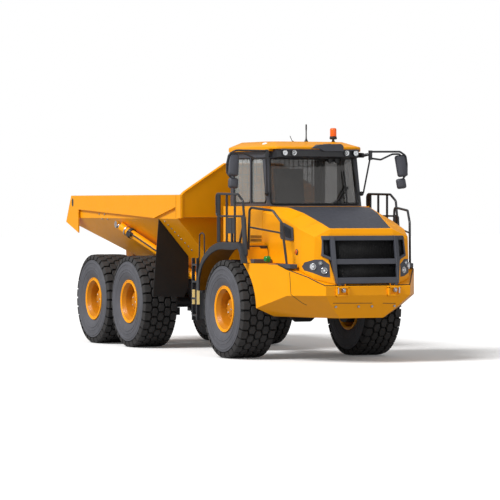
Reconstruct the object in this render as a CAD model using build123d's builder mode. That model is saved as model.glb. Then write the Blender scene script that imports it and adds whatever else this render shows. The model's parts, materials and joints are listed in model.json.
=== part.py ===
from build123d import *
import os
from math import cos, radians, sin, sqrt

# Articulated dump truck in millimetres: +X forward, +Y left, +Z up, on the ground at Z = 0.
# Places along X are measured from the front axle, so FRONT + distance is a place in the part.

# Layout along X
FRONT_REACH = 2290.0  # front axle to the tips of the tow lugs
LUG_REACH = 70.0  # tow lugs ahead of the bumper's face
CAB_REACH = 486.0  # front axle to the cab's front wall
WHEELBASE = 3800.0  # front axle to middle axle
TYRE_R = 746.0
TYRE_GAP = 68.0  # between the middle and rear tyres
BOGIE_SPAN = 2 * TYRE_R + TYRE_GAP  # middle axle to rear axle
REAR_REACH = 1440.0  # rear axle to the bin's tail
HITCH_BACK = 1250.0  # front axle to the steering post
LENGTH = FRONT_REACH + WHEELBASE + BOGIE_SPAN + REAR_REACH
FRONT = LENGTH / 2 - FRONT_REACH
MIDDLE = FRONT - WHEELBASE
REAR = MIDDLE - BOGIE_SPAN
HITCH = FRONT - HITCH_BACK
TAIL = -LENGTH / 2
DRAWN_NOSE = 1734.0  # cab's front wall to the bumper's face, as the tables below have it
STRETCH = (FRONT_REACH - LUG_REACH - CAB_REACH) / DRAWN_NOSE

# Clearances
FIT = 0.3  # between pieces that seat on each other or turn on a pin
RUN = 6.0  # between panels that move past each other

# Wheels
TYRE_HALF = 305.0  # half the section's width at the bulge
TREAD_HALF = 262.0
RIM_R = 317.0  # bead seat
FLANGE_R = 352.0
FLANGE_HALF = 276.0
FLANGE_T = 24.0
TRACK_HALF = 1045.0  # middle of the truck to middle of the tyre
SPINDLE_R = 95.0
HUB_R = 168.0
DISH_R = 225.0  # flat floor of the dished disc
DISH_Y = 20.0  # disc's outer face from the wheel's middle
CONE_R = 262.0  # where the dish meets the rim's outer cone
CAP_Y = 180.0  # end of the hub from the wheel's middle
NOTCHES = 24  # between the tread's shoulder blocks, on each side
NOTCH = 44.0  # width of a notch
NOTCH_DEPTH = 30.0
NOTCH_IN = 190.0  # how far in from the shoulder they start, from the tyre's middle
AXLE_Z = TYRE_R

# Frames
RAIL_IN = 330.0
RAIL_OUT = 420.0
RAIL_TOP = 1150.0
RAIL_DEPTH = 250.0
DECK_Z = 1757.0  # top of the mudguards and underside of the cab
POST_R = 60.0  # steering post
EAR_T = 60.0
EAR_LOW = 540.0  # underside of the lower ear
EAR_HIGH = 1150.0  # underside of the upper ear
OSC_Z = 880.0  # oscillation axis
OSC_R = 160.0
REAR_TOP = 1110.0  # top of the rear frame's rails

# Steering cylinders: places from the steering post
STEER_EYE = (-100.0, 230.0)
STEER_BASE = (850.0, 350.0)
STEER_Z = 780.0
STEER_PIN = 20.0
STEER_R = 42.0
STEER_ROD = 22.0
EYE_T = 50.0

# Tipping cylinders
TIP_R = 68.0
TIP_ROD = 42.0
TIP_PIN = 25.0
TIP_EYE_R = 56.0
TIP_EYE_T = 70.0
TIP_LUG_R = 40.0
TIP_LUG_BACK = 65.0  # eye's middle in to the face of the bin's lug
SHANK_R = 32.0

# Bin
BIN_FRONT = FRONT - 2000.0
BIN_FLOOR = 1330.0
BIN_TOP = 2480.0
BIN_HALF = 1250.0
SIDE_HALF = 1210.0
FLOOR_HALF = 550.0
SIDE_FOLD = 2100.0  # height where the sloping side turns upright
WALL = 20.0
RAMP_RISE = 700.0  # from the flat floor to the tail lip
RAMP_RUN = 2215.0
TIP_BASE = (-2570.0, RAIL_OUT + 100.0, 1080.0)  # of the left cylinder, from the front axle
TIP_EYE = (-4500.0, SIDE_HALF + 15.0, 2000.0)
TIP_X = REAR - 490.0
FLAP_AHEAD = 1000.0  # middle axle to the mud flaps
HEAD_RISE = 500.0  # headboard above the bin's rails
TIP_Z = 1130.0
TIP_ANGLE = 70.0
TIP_BOSS_R = 70.0  # on the rear frame's rails
TIP_EAR_R = 75.0
TIP_EAR_T = 50.0
TIP_AXLE_R = 35.0

# Cab
CAB_REAR = FRONT - 950.0
CAB_FRONT = FRONT + CAB_REACH
CAB_HALF = 900.0
UPPER_HALF = 780.0
BELT_Z = 2300.0
EAVES_Z = 3130.0
ROOF_EDGE_Z = EAVES_Z + 68.0
ROOF_Z = EAVES_Z + 152.0
CAB_WALL = 60.0
DOOR_FRONT = FRONT - 200.0
DOOR_REAR = FRONT - 890.0
DOOR_AXIS = (DOOR_FRONT + 3.0, CAB_HALF + 13.0)
DOOR_HINGES_Z = (1900.0, 2220.0)
DOOR_HINGE_R = 13.0
DOOR_PIN = 6.0
DOOR_HEAD = 70.0  # header over the doorway

# Hinge of the bonnet at the foot of the grille, from the front axle
HINGE_REACH = 2190.0
HINGE_Z = 1162.0
HINGE_R = 14.0
HINGE_PIN = 6.0
KNUCKLE_Y = (380.0, 430.0)

# Bumper
BUMPER_FACE = FRONT + FRONT_REACH - LUG_REACH
BUMPER_WALL = 30.0
BUMPER_LOW = 660.0
CREASE_Z = 1000.0
ARCH_R = 920.0

# Bonnet
BONNET_WALL = 26.0
SEAM = 8.0  # gap between the bonnet and what it closes on
NOSE_LEAN = 0.1785  # how far the grille's plane runs forward for each millimetre down
NOSE_SLANT = sqrt(1 + NOSE_LEAN**2)


def ahead(x):
    """A place from its distance to the front axle in a table, kept in step with the reach."""
    if x <= CAB_REACH:
        return FRONT + x
    return CAB_FRONT + (x - CAB_REACH) * STRETCH


HINGE_X = ahead(HINGE_REACH)


def side(y):
    """Upright plane across Y, drawn in (x, z)."""
    return Plane(origin=(0, y, 0), x_dir=(1, 0, 0), z_dir=(0, -1, 0))


def across(x):
    """Upright plane across X, drawn in (y, z)."""
    return Plane.YZ.offset(x)


def prism(points, plane, amount, both=False, mode=Mode.ADD):
    """A closed outline, pushed out from its plane."""
    with BuildSketch(plane) as outline:
        with BuildLine():
            Polyline(*points, close=True)
        make_face()
    extrude(outline.sketch, amount=amount, both=both, mode=mode)


def slab(points, low, high, mode=Mode.ADD):
    """An outline in (x, z) between two places across the truck."""
    prism(points, side(high), high - low, mode=mode)


def block(x, y, z, mode=Mode.ADD):
    """A box from its (low, high) pairs along X, Y and Z."""
    with Locations(((x[0] + x[1]) / 2, (y[0] + y[1]) / 2, (z[0] + z[1]) / 2)):
        Box(x[1] - x[0], y[1] - y[0], z[1] - z[0], mode=mode)


def sheet(outer, inner, bends, low, high):
    """A bent sheet in (x, z) between its two faces, across the truck from low to high."""
    with BuildSketch(side(high)) as outline:
        with BuildLine():
            FilletPolyline(*outer, radius=bends[0])
            FilletPolyline(*inner, radius=bends[1])
            Line(outer[0], inner[0])
            Line(outer[-1], inner[-1])
        make_face()
    extrude(outline.sketch, amount=high - low)


def bar(start, end, radius, mode=Mode.ADD):
    """A round bar between two points."""
    run = Vector(*end) - Vector(*start)
    with BuildSketch(Plane(origin=start, z_dir=run)) as ring:
        Circle(radius)
    extrude(ring.sketch, amount=run.length, mode=mode)


def pipe(points, radius, bend):
    """A bent round pipe through the given corners."""
    with BuildLine() as run:
        FilletPolyline(*points, radius=bend)
    with BuildSketch(Plane(origin=run.line @ 0, z_dir=run.line % 0)) as ring:
        Circle(radius)
    sweep(ring.sketch, path=run.line)


def turned(points, mode=Mode.ADD):
    """An outline in (radius, y), turned about the Y axis."""
    with BuildSketch() as outline:
        with BuildLine():
            Polyline(*points, close=True)
        make_face()
    revolve(outline.sketch, axis=Axis.Y, mode=mode)


def tip_line(hand):
    """Base and eye of a tipping cylinder at rest, and the axis its barrel swings about."""
    x, y, z = TIP_BASE
    base = Vector(FRONT + x, hand * y, z)
    x, y, z = TIP_EYE
    eye = Vector(FRONT + x, hand * y, z)
    arm = eye - Vector(TIP_X, eye.Y, TIP_Z)
    angle = radians(TIP_ANGLE)
    raised = Vector(
        TIP_X + arm.X * cos(angle) - arm.Z * sin(angle),
        eye.Y,
        TIP_Z + arm.X * sin(angle) + arm.Z * cos(angle),
    )
    swing = (eye - base).cross(raised - base).normalized()
    return base, eye, swing * hand


def save(name, part):
    """Label a finished piece and write its file."""
    part.label = name
    export_step(part, "parts/" + name + ".step")


os.makedirs("parts", exist_ok=True)

# Tyre about the Y axis, outer face towards +Y
bead_half = FLANGE_HALF - FLANGE_T
with BuildPart() as tyre:
    with BuildSketch():
        with BuildLine():
            Polyline(
                (FLANGE_R, bead_half),
                (RIM_R, bead_half),
                (RIM_R, -bead_half),
                (FLANGE_R, -bead_half),
            )
            Line((FLANGE_R, -bead_half), (FLANGE_R + 8, -bead_half - 4))
            ThreePointArc(
                (FLANGE_R + 8, -bead_half - 4),
                (520, -TYRE_HALF),
                (TYRE_R - 60, -TYRE_HALF + 12),
            )
            Polyline(
                (TYRE_R - 60, -TYRE_HALF + 12),
                (TYRE_R - 8, -TREAD_HALF - 14),
                (TYRE_R, -TREAD_HALF),
                (TYRE_R, TREAD_HALF),
                (TYRE_R - 8, TREAD_HALF + 14),
                (TYRE_R - 60, TYRE_HALF - 12),
            )
            ThreePointArc(
                (TYRE_R - 60, TYRE_HALF - 12),
                (520, TYRE_HALF),
                (FLANGE_R + 8, bead_half + 4),
            )
            Line((FLANGE_R + 8, bead_half + 4), (FLANGE_R, bead_half))
        make_face()
    revolve(axis=Axis.Y)
    notch_places = []
    for hand in (1, -1):
        for k in range(NOTCHES):
            turn = Location((0, 0, 0), (0, 360.0 * (k + (hand < 0) / 2) / NOTCHES, 0))
            notch_places.append(turn * Location((0, hand * (NOTCH_IN + TYRE_HALF) / 2, TYRE_R)))
    with Locations(*notch_places):
        Box(NOTCH, TYRE_HALF - NOTCH_IN, 2 * NOTCH_DEPTH, mode=Mode.SUBTRACT)

# Rim: barrel with two flanges, a dished disc and the hub that turns on the spindle
barrel_r = RIM_R - FIT
with BuildPart() as rim:
    turned(
        (
            (barrel_r, -bead_half - FIT),
            (FLANGE_R, -bead_half - FIT),
            (FLANGE_R, -FLANGE_HALF),
            (barrel_r - 16, -FLANGE_HALF),
            (barrel_r - 16, -80),
            (DISH_R, DISH_Y - 26),
            (HUB_R, DISH_Y - 26),
            (HUB_R, -80),
            (SPINDLE_R + FIT, -80),
            (SPINDLE_R + FIT, 60),
            (0, 60),
            (0, CAP_Y),
            (45, CAP_Y),
            (105, CAP_Y - 8),
            (112, CAP_Y - 26),
            (150, CAP_Y - 28),
            (HUB_R - 5, CAP_Y - 42),
            (HUB_R, DISH_Y),
            (DISH_R, DISH_Y),
            (CONE_R, FLANGE_HALF - 56),
            (barrel_r - 2, FLANGE_HALF),
            (FLANGE_R, FLANGE_HALF),
            (FLANGE_R, bead_half + FIT),
            (barrel_r, bead_half + FIT),
        )
    )

# Wheels: name, axle, side
WHEELS = (
    ("front_left", FRONT, 1),
    ("front_right", FRONT, -1),
    ("middle_left", MIDDLE, 1),
    ("middle_right", MIDDLE, -1),
    ("rear_left", REAR, 1),
    ("rear_right", REAR, -1),
)
for name, axle_x, hand in WHEELS:
    place = Location((axle_x, hand * TRACK_HALF, AXLE_Z), (0, 0, 0 if hand > 0 else 180))
    save("tyre_" + name, tyre.part.moved(place))
    save("rim_" + name, rim.part.moved(place))

# Axle about the Y axis: differential, tube, brake drums and spindles
HOUSING_R = 105.0
DRUM_R = 230.0
DRUM_IN = 700.0
DRUM_OUT = 900.0
SPINDLE_END = TRACK_HALF + 60.0 - FIT
with BuildPart() as axle:
    turned(
        (
            (0, -SPINDLE_END),
            (SPINDLE_R, -SPINDLE_END),
            (SPINDLE_R, -DRUM_OUT),
            (DRUM_R, -DRUM_OUT),
            (DRUM_R, -DRUM_IN),
            (HOUSING_R, -DRUM_IN),
            (HOUSING_R, -260),
            (215, -120),
            (215, 120),
            (HOUSING_R, 260),
            (HOUSING_R, DRUM_IN),
            (DRUM_R, DRUM_IN),
            (DRUM_R, DRUM_OUT),
            (SPINDLE_R, DRUM_OUT),
            (SPINDLE_R, SPINDLE_END),
            (0, SPINDLE_END),
        )
    )
NOSE_R = 80.0
NOSE_REACH = 330.0  # how far the pinion housing reaches from the axle
for name, axle_x, noses in (
    ("front_axle", FRONT, (-1,)),
    ("middle_axle", MIDDLE, (1, -1)),
    ("rear_axle", REAR, (1,)),
):
    with BuildPart() as whole:
        add(axle.part.moved(Location((axle_x, 0, AXLE_Z))))
        for way in noses:
            bar((axle_x, 0, AXLE_Z), (axle_x + way * NOSE_REACH, 0, AXLE_Z), NOSE_R)
    save(name, whole.part)

# Front frame: two rails, cross members and the yoke of the hitch
rail_low = RAIL_TOP - RAIL_DEPTH
YOKE_HALF = 170.0
STEP_Y = 1290.0
STEP_ARM_X = (FRONT - 1000.0, FRONT - 950.0)
YOKE_X = (HITCH + 250.0, HITCH + 530.0)
FRAME_FRONT = ahead(1990)
POSTS_X = (FRONT - 800.0, FRONT + 250.0)
ARMS_X = (FRONT - 200.0, FRONT + 350.0)
ARM_HALF = 35.0
ARM_OUT = 1250.0
SHEET = 25.0  # skin of the mudguards
STRUT_Y = 540.0
STRUT_TOP = 1330.0
with BuildPart() as front_frame:
    block((YOKE_X[0], FRAME_FRONT), (RAIL_IN, RAIL_OUT), (rail_low, RAIL_TOP))
    mirror(about=Plane.XZ)
    block((FRAME_FRONT - 90, FRAME_FRONT), (-RAIL_OUT, RAIL_OUT), (780, RAIL_TOP))
    block((FRONT + 250, FRONT + 340), (-RAIL_IN, RAIL_IN), (rail_low, 990))
    for hand in (1, -1):
        block((FRAME_FRONT, BUMPER_FACE - BUMPER_WALL), (hand * 360 - 50, hand * 360 + 50), (1010, 1100))
    block(YOKE_X, (-RAIL_IN, RAIL_IN), (rail_low, EAR_HIGH + EAR_T))
    block(YOKE_X, (-YOKE_HALF, YOKE_HALF), (EAR_LOW, rail_low))
    for hand in (1, -1):
        x, y = HITCH + STEER_BASE[0], hand * STEER_BASE[1]
        block((x - 42, x + 42), (y - 42, y + 42), (STEER_Z + EYE_T / 2 + FIT, rail_low))
        bar((x, y, STEER_Z + EYE_T), (x, y, STEER_Z - EYE_T / 2 - 10), STEER_PIN)
    for low in (EAR_LOW, EAR_HIGH):
        prism(
            (
                (YOKE_X[0], -YOKE_HALF),
                (YOKE_X[0], YOKE_HALF),
                (HITCH - 60, 140),
                (HITCH - 60, -140),
            ),
            Plane.XY.offset(low),
            EAR_T,
        )
    bar((HITCH, 0, EAR_LOW), (HITCH, 0, EAR_HIGH + EAR_T), POST_R + FIT, mode=Mode.SUBTRACT)
save("front_frame", front_frame.part)

# Brackets on the front frame: cab posts and the arms of mudguards, struts and steps
with BuildPart() as brackets:
    for x in POSTS_X:
        block((x - 45, x + 45), (RAIL_IN, RAIL_OUT), (RAIL_TOP, DECK_Z))
    for x in ARMS_X:
        block((x - ARM_HALF, x + ARM_HALF), (RAIL_IN, RAIL_OUT), (RAIL_TOP, DECK_Z - SHEET))
        block(
            (x - ARM_HALF, x + ARM_HALF),
            (RAIL_IN, ARM_OUT),
            (DECK_Z - SHEET - 70, DECK_Z - SHEET),
        )
    block((FRONT - 60, FRONT + 60), (RAIL_IN, RAIL_OUT), (RAIL_TOP, STRUT_TOP + 50))
    block((FRONT - 60, FRONT + 60), (RAIL_IN, STRUT_Y + 60), (STRUT_TOP, STRUT_TOP + 50))
    block(STEP_ARM_X, (RAIL_OUT, STEP_Y), (1090, RAIL_TOP))
    mirror(about=Plane.XZ)
save("frame_brackets", brackets.part)

# Front struts between the axle and the frame's brackets
STRUT_R = 60.0
with BuildPart() as struts:
    bar((FRONT, STRUT_Y, AXLE_Z + HOUSING_R), (FRONT, STRUT_Y, STRUT_TOP - 180), STRUT_R * 0.6)
    bar((FRONT, STRUT_Y, STRUT_TOP - 260), (FRONT, STRUT_Y, STRUT_TOP), STRUT_R)
    mirror(about=Plane.XZ)
save("front_struts", struts.part)

# Engine with gearbox behind it, on feet on the rails, and the cooling pack
ENGINE_X = (FRONT + 400.0, ahead(1450))
COOLER_X = (ahead(1640), ahead(1800))
with BuildPart() as engine:
    block(ENGINE_X, (-RAIL_IN + 10, RAIL_IN - 10), (1000, 1740))
    block((FRONT - 450, ENGINE_X[0]), (-230, 230), (1000, 1420))
    for x in (ENGINE_X[0] + 120, ENGINE_X[1] - 120):
        block((x - 40, x + 40), (-RAIL_OUT, RAIL_OUT), (RAIL_TOP, RAIL_TOP + 40))
save("engine_block", engine.part)
with BuildPart() as cooler:
    block(COOLER_X, (-520, 520), (RAIL_TOP, 1790))
save("cooling_pack", cooler.part)

# Hitch: block on the steering post and the oscillation tube behind it
HITCH_GAP = 5.0
HITCH_R = 140.0
TUBE_END = HITCH - 900.0
COLLAR_X = (HITCH - 500.0, HITCH - 420.0)  # flange in front of the rear frame's bulkhead
LUG_T = 16.0
with BuildPart() as hitch:
    bar((HITCH, 0, EAR_LOW), (HITCH, 0, EAR_HIGH + EAR_T), POST_R)
    bar(
        (HITCH, 0, EAR_LOW + EAR_T + HITCH_GAP),
        (HITCH, 0, EAR_HIGH - HITCH_GAP),
        HITCH_R,
    )
    bar((HITCH, 0, OSC_Z), (TUBE_END, 0, OSC_Z), OSC_R)
    bar((COLLAR_X[0] + FIT, 0, OSC_Z), (COLLAR_X[1], 0, OSC_Z), OSC_R + 60)
    for z in (STEER_Z - EYE_T / 2 - RUN - LUG_T, STEER_Z + EYE_T / 2 + RUN):
        prism(
            (
                (HITCH + 40, 0),
                (HITCH + STEER_EYE[0] + 45, STEER_EYE[1] + 50),
                (HITCH + STEER_EYE[0] - 45, STEER_EYE[1] + 50),
                (HITCH - 240, 0),
                (HITCH + STEER_EYE[0] - 45, -STEER_EYE[1] - 50),
                (HITCH + STEER_EYE[0] + 45, -STEER_EYE[1] - 50),
            ),
            Plane.XY.offset(z),
            LUG_T,
        )
save("hitch", hitch.part)

SHAFT_R = 45.0

# Rear frame: deep rails ahead of the middle axle, shallow over the axles, with bulkheads
BULK_X = (COLLAR_X[0] - 160.0, COLLAR_X[0])
DEEP_LOW = 480.0
SHALLOW_LOW = 880.0
REAR_END = TIP_X - 120.0
with BuildPart() as rear_frame:
    slab(
        (
            (BULK_X[1], DEEP_LOW),
            (BULK_X[1], REAR_TOP),
            (REAR_END, REAR_TOP),
            (REAR_END, SHALLOW_LOW),
            (MIDDLE + 350, SHALLOW_LOW),
            (MIDDLE + 800, DEEP_LOW),
        ),
        RAIL_IN,
        RAIL_OUT,
    )
    mirror(about=Plane.XZ)
    block(BULK_X, (-RAIL_OUT, RAIL_OUT), (DEEP_LOW, REAR_TOP))
    block((TUBE_END - 60, TUBE_END - 20), (-RAIL_OUT, RAIL_OUT), (DEEP_LOW, REAR_TOP))
    block((REAR_END, REAR_END + 60), (-RAIL_OUT, RAIL_OUT), (SHALLOW_LOW, REAR_TOP))
    for hand in (1, -1):
        inner = (TIP_X, hand * RAIL_IN, TIP_Z)
        bar(inner, (TIP_X, hand * RAIL_OUT, TIP_Z), TIP_BOSS_R)
        bar(inner, (TIP_X, hand * (RAIL_OUT + RUN + TIP_EAR_T + 12), TIP_Z), TIP_AXLE_R)
    bar((BULK_X[1], 0, OSC_Z), (BULK_X[0], 0, OSC_Z), OSC_R + FIT, mode=Mode.SUBTRACT)
    bar((TUBE_END - 20, 0, AXLE_Z), (TUBE_END - 60, 0, AXLE_Z), SHAFT_R + FIT, mode=Mode.SUBTRACT)
    for hand in (1, -1):
        base, eye, swing = tip_line(hand)
        foot = base - swing * 110
        bar(tuple(foot), tuple(base - swing * (TIP_EYE_T / 2 + FIT)), TIP_EYE_R)
        bar(tuple(foot), tuple(base + swing * (TIP_EYE_T / 2 + 12)), TIP_PIN)
        low, high = sorted((hand * RAIL_OUT, hand * (TIP_BASE[1] + 30)))
        block((foot.X - 50, foot.X + 60), (low, high), (foot.Z - 70, foot.Z + 20))
save("rear_frame", rear_frame.part)

# Bin: a sloping-sided trough with a ramped tail
slope = (SIDE_HALF - FLOOR_HALF) / (SIDE_FOLD - BIN_FLOOR)
ramp_start = TAIL + RAMP_RUN
lip_z = BIN_FLOOR + RAMP_RISE
RAIL_LOW = 2200.0  # lower edge of the top rails
RAIL_BACK = 240.0  # tail lip to the end of the rails' top
BEAM_REACH = 200.0  # box beam before the front wall
BEAM_LOW = 2110.0
HEAD_HALF = 500.0
HEAD_T = 20.0
HEAD_RIM = 45.0  # edge strip round the headboard
HEAD_CORNER = 50.0
TAIL_BEAM = (TIP_X - 110.0, TIP_X - 30.0)
TAIL_BEAM_LOW = 1690.0
KEEL_IN = 300.0  # lengthwise beams under the floor
KEEL_OUT = 420.0
KEEL_GAP = 5.0
KEEL_END = TIP_X + 120.0


def trough(inset, front_inset):
    """The bin's section, pulled in by a wall, from the tail to the front wall."""
    prism(
        (
            (-FLOOR_HALF + inset, BIN_FLOOR + inset),
            (FLOOR_HALF - inset, BIN_FLOOR + inset),
            (SIDE_HALF - inset, SIDE_FOLD + inset / 2),
            (SIDE_HALF - inset, BIN_TOP + inset),
            (-SIDE_HALF + inset, BIN_TOP + inset),
            (-SIDE_HALF + inset, SIDE_FOLD + inset / 2),
        ),
        across(TAIL),
        BIN_FRONT - front_inset - TAIL,
    )


def ramp_height(x):
    """Height of the ramp's underside."""
    return BIN_FLOOR + (ramp_start - x) * RAMP_RISE / RAMP_RUN


def below_ramp(lift):
    """Everything under the ramped tail, raised by a floor's thickness."""
    rise = lift * sqrt(1 + (RAMP_RISE / RAMP_RUN) ** 2)
    return (
        (ramp_start, BIN_FLOOR + rise),
        (TAIL - 10, lip_z + rise + 10 * RAMP_RISE / RAMP_RUN),
        (TAIL - 10, BIN_FLOOR - 600),
        (ramp_start, BIN_FLOOR - 600),
    )


with BuildPart() as load_space:
    trough(WALL, WALL)
    slab(below_ramp(WALL), -BIN_HALF, BIN_HALF, mode=Mode.SUBTRACT)
with BuildPart() as bin_body:
    trough(0.0, 0.0)
    for hand in (1, -1):
        low, high = sorted((hand * (BIN_HALF - WALL), hand * BIN_HALF))
        slab(
            (
                (TAIL, BIN_FLOOR + 600),
                (TAIL, lip_z),
                (TAIL + 100, RAIL_LOW + 60),
                (TAIL + 580, RAIL_LOW + 60),
                (TAIL + 580, BIN_FLOOR + 300),
            ),
            low,
            high,
        )
    slab(below_ramp(0.0), -BIN_HALF, BIN_HALF, mode=Mode.SUBTRACT)
    for hand in (1, -1):
        x, y, z = TIP_EYE
        bar((FRONT + x, hand * FLOOR_HALF, z), (FRONT + x, hand * (y - TIP_LUG_BACK), z), TIP_LUG_R)
    add(load_space.part, mode=Mode.SUBTRACT)
    slab(
        ((TAIL - 1, lip_z - 60), (TAIL - 1, BIN_TOP + 1), (TAIL + RAIL_BACK, BIN_TOP + 1), (TAIL, lip_z)),
        -BIN_HALF,
        BIN_HALF,
        mode=Mode.SUBTRACT,
    )
    for hand in (1, -1):
        low, high = sorted((hand * SIDE_HALF, hand * BIN_HALF))
        slab(
            (
                (BIN_FRONT, BIN_TOP),
                (TAIL + RAIL_BACK, BIN_TOP),
                (TAIL + 120, RAIL_LOW + 60),
                (BIN_FRONT - 900, RAIL_LOW - 90),
                (BIN_FRONT, RAIL_LOW + 90),
            ),
            low,
            high,
        )
        low, high = sorted((hand * KEEL_IN, hand * KEEL_OUT))
        slab(
            (
                (BIN_FRONT - 100, REAR_TOP + KEEL_GAP),
                (BIN_FRONT - 100, BIN_FLOOR),
                (ramp_start, BIN_FLOOR),
                (KEEL_END, ramp_height(KEEL_END)),
                (KEEL_END, REAR_TOP + KEEL_GAP),
            ),
            low,
            high,
        )
        low, high = sorted((hand * (RAIL_OUT + RUN), hand * (RAIL_OUT + RUN + TIP_EAR_T)))
        slab(
            (
                (TIP_X + TIP_EAR_R, TIP_Z),
                (TIP_X + 260, ramp_height(TIP_X + 260)),
                (TIP_X - 140, ramp_height(TIP_X - 140)),
                (TIP_X - TIP_EAR_R, TIP_Z),
            ),
            low,
            high,
        )
        bar((TIP_X, low, TIP_Z), (TIP_X, high, TIP_Z), TIP_EAR_R)
        bar((TIP_X, low, TIP_Z), (TIP_X, high, TIP_Z), TIP_AXLE_R + FIT, mode=Mode.SUBTRACT)
    block((BIN_FRONT - WALL, BIN_FRONT + BEAM_REACH), (-BIN_HALF, BIN_HALF), (BEAM_LOW, BIN_TOP))
    half = (
        (BIN_HALF, BIN_TOP),
        (BIN_HALF - HEAD_CORNER, BIN_TOP + HEAD_CORNER),
        (HEAD_HALF, BIN_TOP + HEAD_RISE),
    )
    prism((*half, *[(-y, z) for y, z in reversed(half)]), across(BIN_FRONT + BEAM_REACH - HEAD_RIM), HEAD_RIM)
    half = (
        (BIN_HALF - 2.5 * HEAD_RIM, BIN_TOP),
        (BIN_HALF - HEAD_CORNER - HEAD_RIM, BIN_TOP + HEAD_CORNER - 5),
        (HEAD_HALF - HEAD_RIM / 3, BIN_TOP + HEAD_RISE - HEAD_RIM),
    )
    inner = (*half, *[(-y, z) for y, z in reversed(half)])
    prism(inner, across(BIN_FRONT + BEAM_REACH - HEAD_RIM), HEAD_RIM - HEAD_T, mode=Mode.SUBTRACT)
    slab(
        (
            (TAIL_BEAM[0], TAIL_BEAM_LOW),
            (TAIL_BEAM[0], ramp_height(TAIL_BEAM[0])),
            (TAIL_BEAM[1], ramp_height(TAIL_BEAM[1])),
            (TAIL_BEAM[1], TAIL_BEAM_LOW),
        ),
        -FLOOR_HALF,
        FLOOR_HALF,
    )
save("bin", bin_body.part)

# Mud flaps that hang from the bin ahead of the middle wheels
FLAP_X = MIDDLE + FLAP_AHEAD
FLAP_IN = 690.0  # clear of the tipping cylinders
with BuildPart() as flaps:
    prism(
        (
            (SIDE_HALF - 1, SIDE_FOLD - FIT - 1),
            (FLAP_IN, SIDE_FOLD - (SIDE_HALF - FLAP_IN) / slope - 1),
            (FLAP_IN, 1000),
            (770, 840),
            (1310, 860),
        ),
        across(FLAP_X),
        16,
    )
    mirror(about=Plane.XZ)
save("bin_flaps", flaps.part)

# Walking beams between the middle and rear axles, outside the rails
BEAM_Y = (450.0, 560.0)
with BuildPart() as beams:
    mid = (MIDDLE + REAR) / 2
    beam_top = AXLE_Z - HOUSING_R - FIT
    slab(
        (
            (MIDDLE + 110, AXLE_Z - 230),
            (MIDDLE + 110, beam_top),
            (MIDDLE - 130, beam_top),
            (mid, AXLE_Z + 40),
            (REAR + 130, beam_top),
            (REAR - 110, beam_top),
            (REAR - 110, AXLE_Z - 230),
            (mid, AXLE_Z - 230),
        ),
        BEAM_Y[0],
        BEAM_Y[1],
    )
    bar((mid, RAIL_OUT, AXLE_Z - 40), (mid, BEAM_Y[0], AXLE_Z - 40), 60)
    slab(
        (
            (mid - 90, AXLE_Z - 110),
            (mid + 90, AXLE_Z - 110),
            (mid + 130, SHALLOW_LOW),
            (mid - 130, SHALLOW_LOW),
        ),
        RAIL_IN,
        RAIL_OUT,
    )
    mirror(about=Plane.XZ)
save("walking_beams", beams.part)

# Drive shaft between the hitch and the middle axle, and between the two rear axles
with BuildPart() as shaft:
    bar((TUBE_END - FIT, 0, AXLE_Z), (MIDDLE + NOSE_REACH, 0, AXLE_Z), SHAFT_R)
    bar((MIDDLE - NOSE_REACH, 0, AXLE_Z), (REAR + NOSE_REACH, 0, AXLE_Z), SHAFT_R)
save("drive_shaft", shaft.part)

# Bumper with wings: (x from the front axle, y) of the plan and (x, z) of the top edge
BUMPER_PLAN = ((2220, 690), (1660, 1050), (560, 1280))
BUMPER_TOP = ((560, 1455), (1400, 1440), (1700, 1350), (1950, 1260), (2100, 1185), (2220, 1130))
# Undercuts below the crease, each from three points (x from the front axle, y, z)
UNDERCUTS = (
    ((880, 1250, 800), (1600, 600, 660), (850, 940, 660)),
    ((880, 1250, 800), (1660, 1050, 990), (1600, 600, 660)),
    ((1660, 1050, 990), (2220, 690, CREASE_Z), (2000, 400, 660)),
)
NOSE_CUT = ((2220, 0, CREASE_Z), (2220, -100, CREASE_Z), (2000, 0, 660))


def cut_plane(points, hand, inset):
    """The plane of an undercut on one side, pulled in by a wall, with its normal outward."""
    at, along, down = (Vector(ahead(x), hand * y, z) for x, y, z in points)
    normal = (along - at).cross(down - at) * hand
    return Plane(origin=at - normal.normalized() * inset, z_dir=normal)


def bumper_form(inset):
    """The bumper's outer form, pulled in by a wall."""
    with BuildPart() as form:
        with BuildSketch(Plane.XY.offset(BUMPER_LOW - inset)):
            with BuildLine():
                right = [(ahead(x), -y) for x, y in reversed(BUMPER_PLAN)]
                Polyline(*[(ahead(x), y) for x, y in BUMPER_PLAN], *right, close=True)
            make_face()
            if inset:
                offset(amount=-inset, kind=Kind.INTERSECTION)
        extrude(amount=1000)
        top = [(ahead(x), z - inset) for x, z in BUMPER_TOP]
        prism(
            ((top[0][0] - 50, top[0][1]), *top, (BUMPER_FACE + 50, top[-1][1]))
            + ((BUMPER_FACE + 50, 2500), (top[0][0] - 50, 2500)),
            side(0),
            1500,
            both=True,
            mode=Mode.SUBTRACT,
        )
        for hand in (1, -1):
            for points in UNDERCUTS:
                split(bisect_by=cut_plane(points, hand, inset), keep=Keep.BOTTOM)
        split(bisect_by=cut_plane(NOSE_CUT, 1, inset), keep=Keep.BOTTOM)
        bar((FRONT, -1500, AXLE_Z), (FRONT, 1500, AXLE_Z), ARCH_R + inset, mode=Mode.SUBTRACT)
    return form.part


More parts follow.
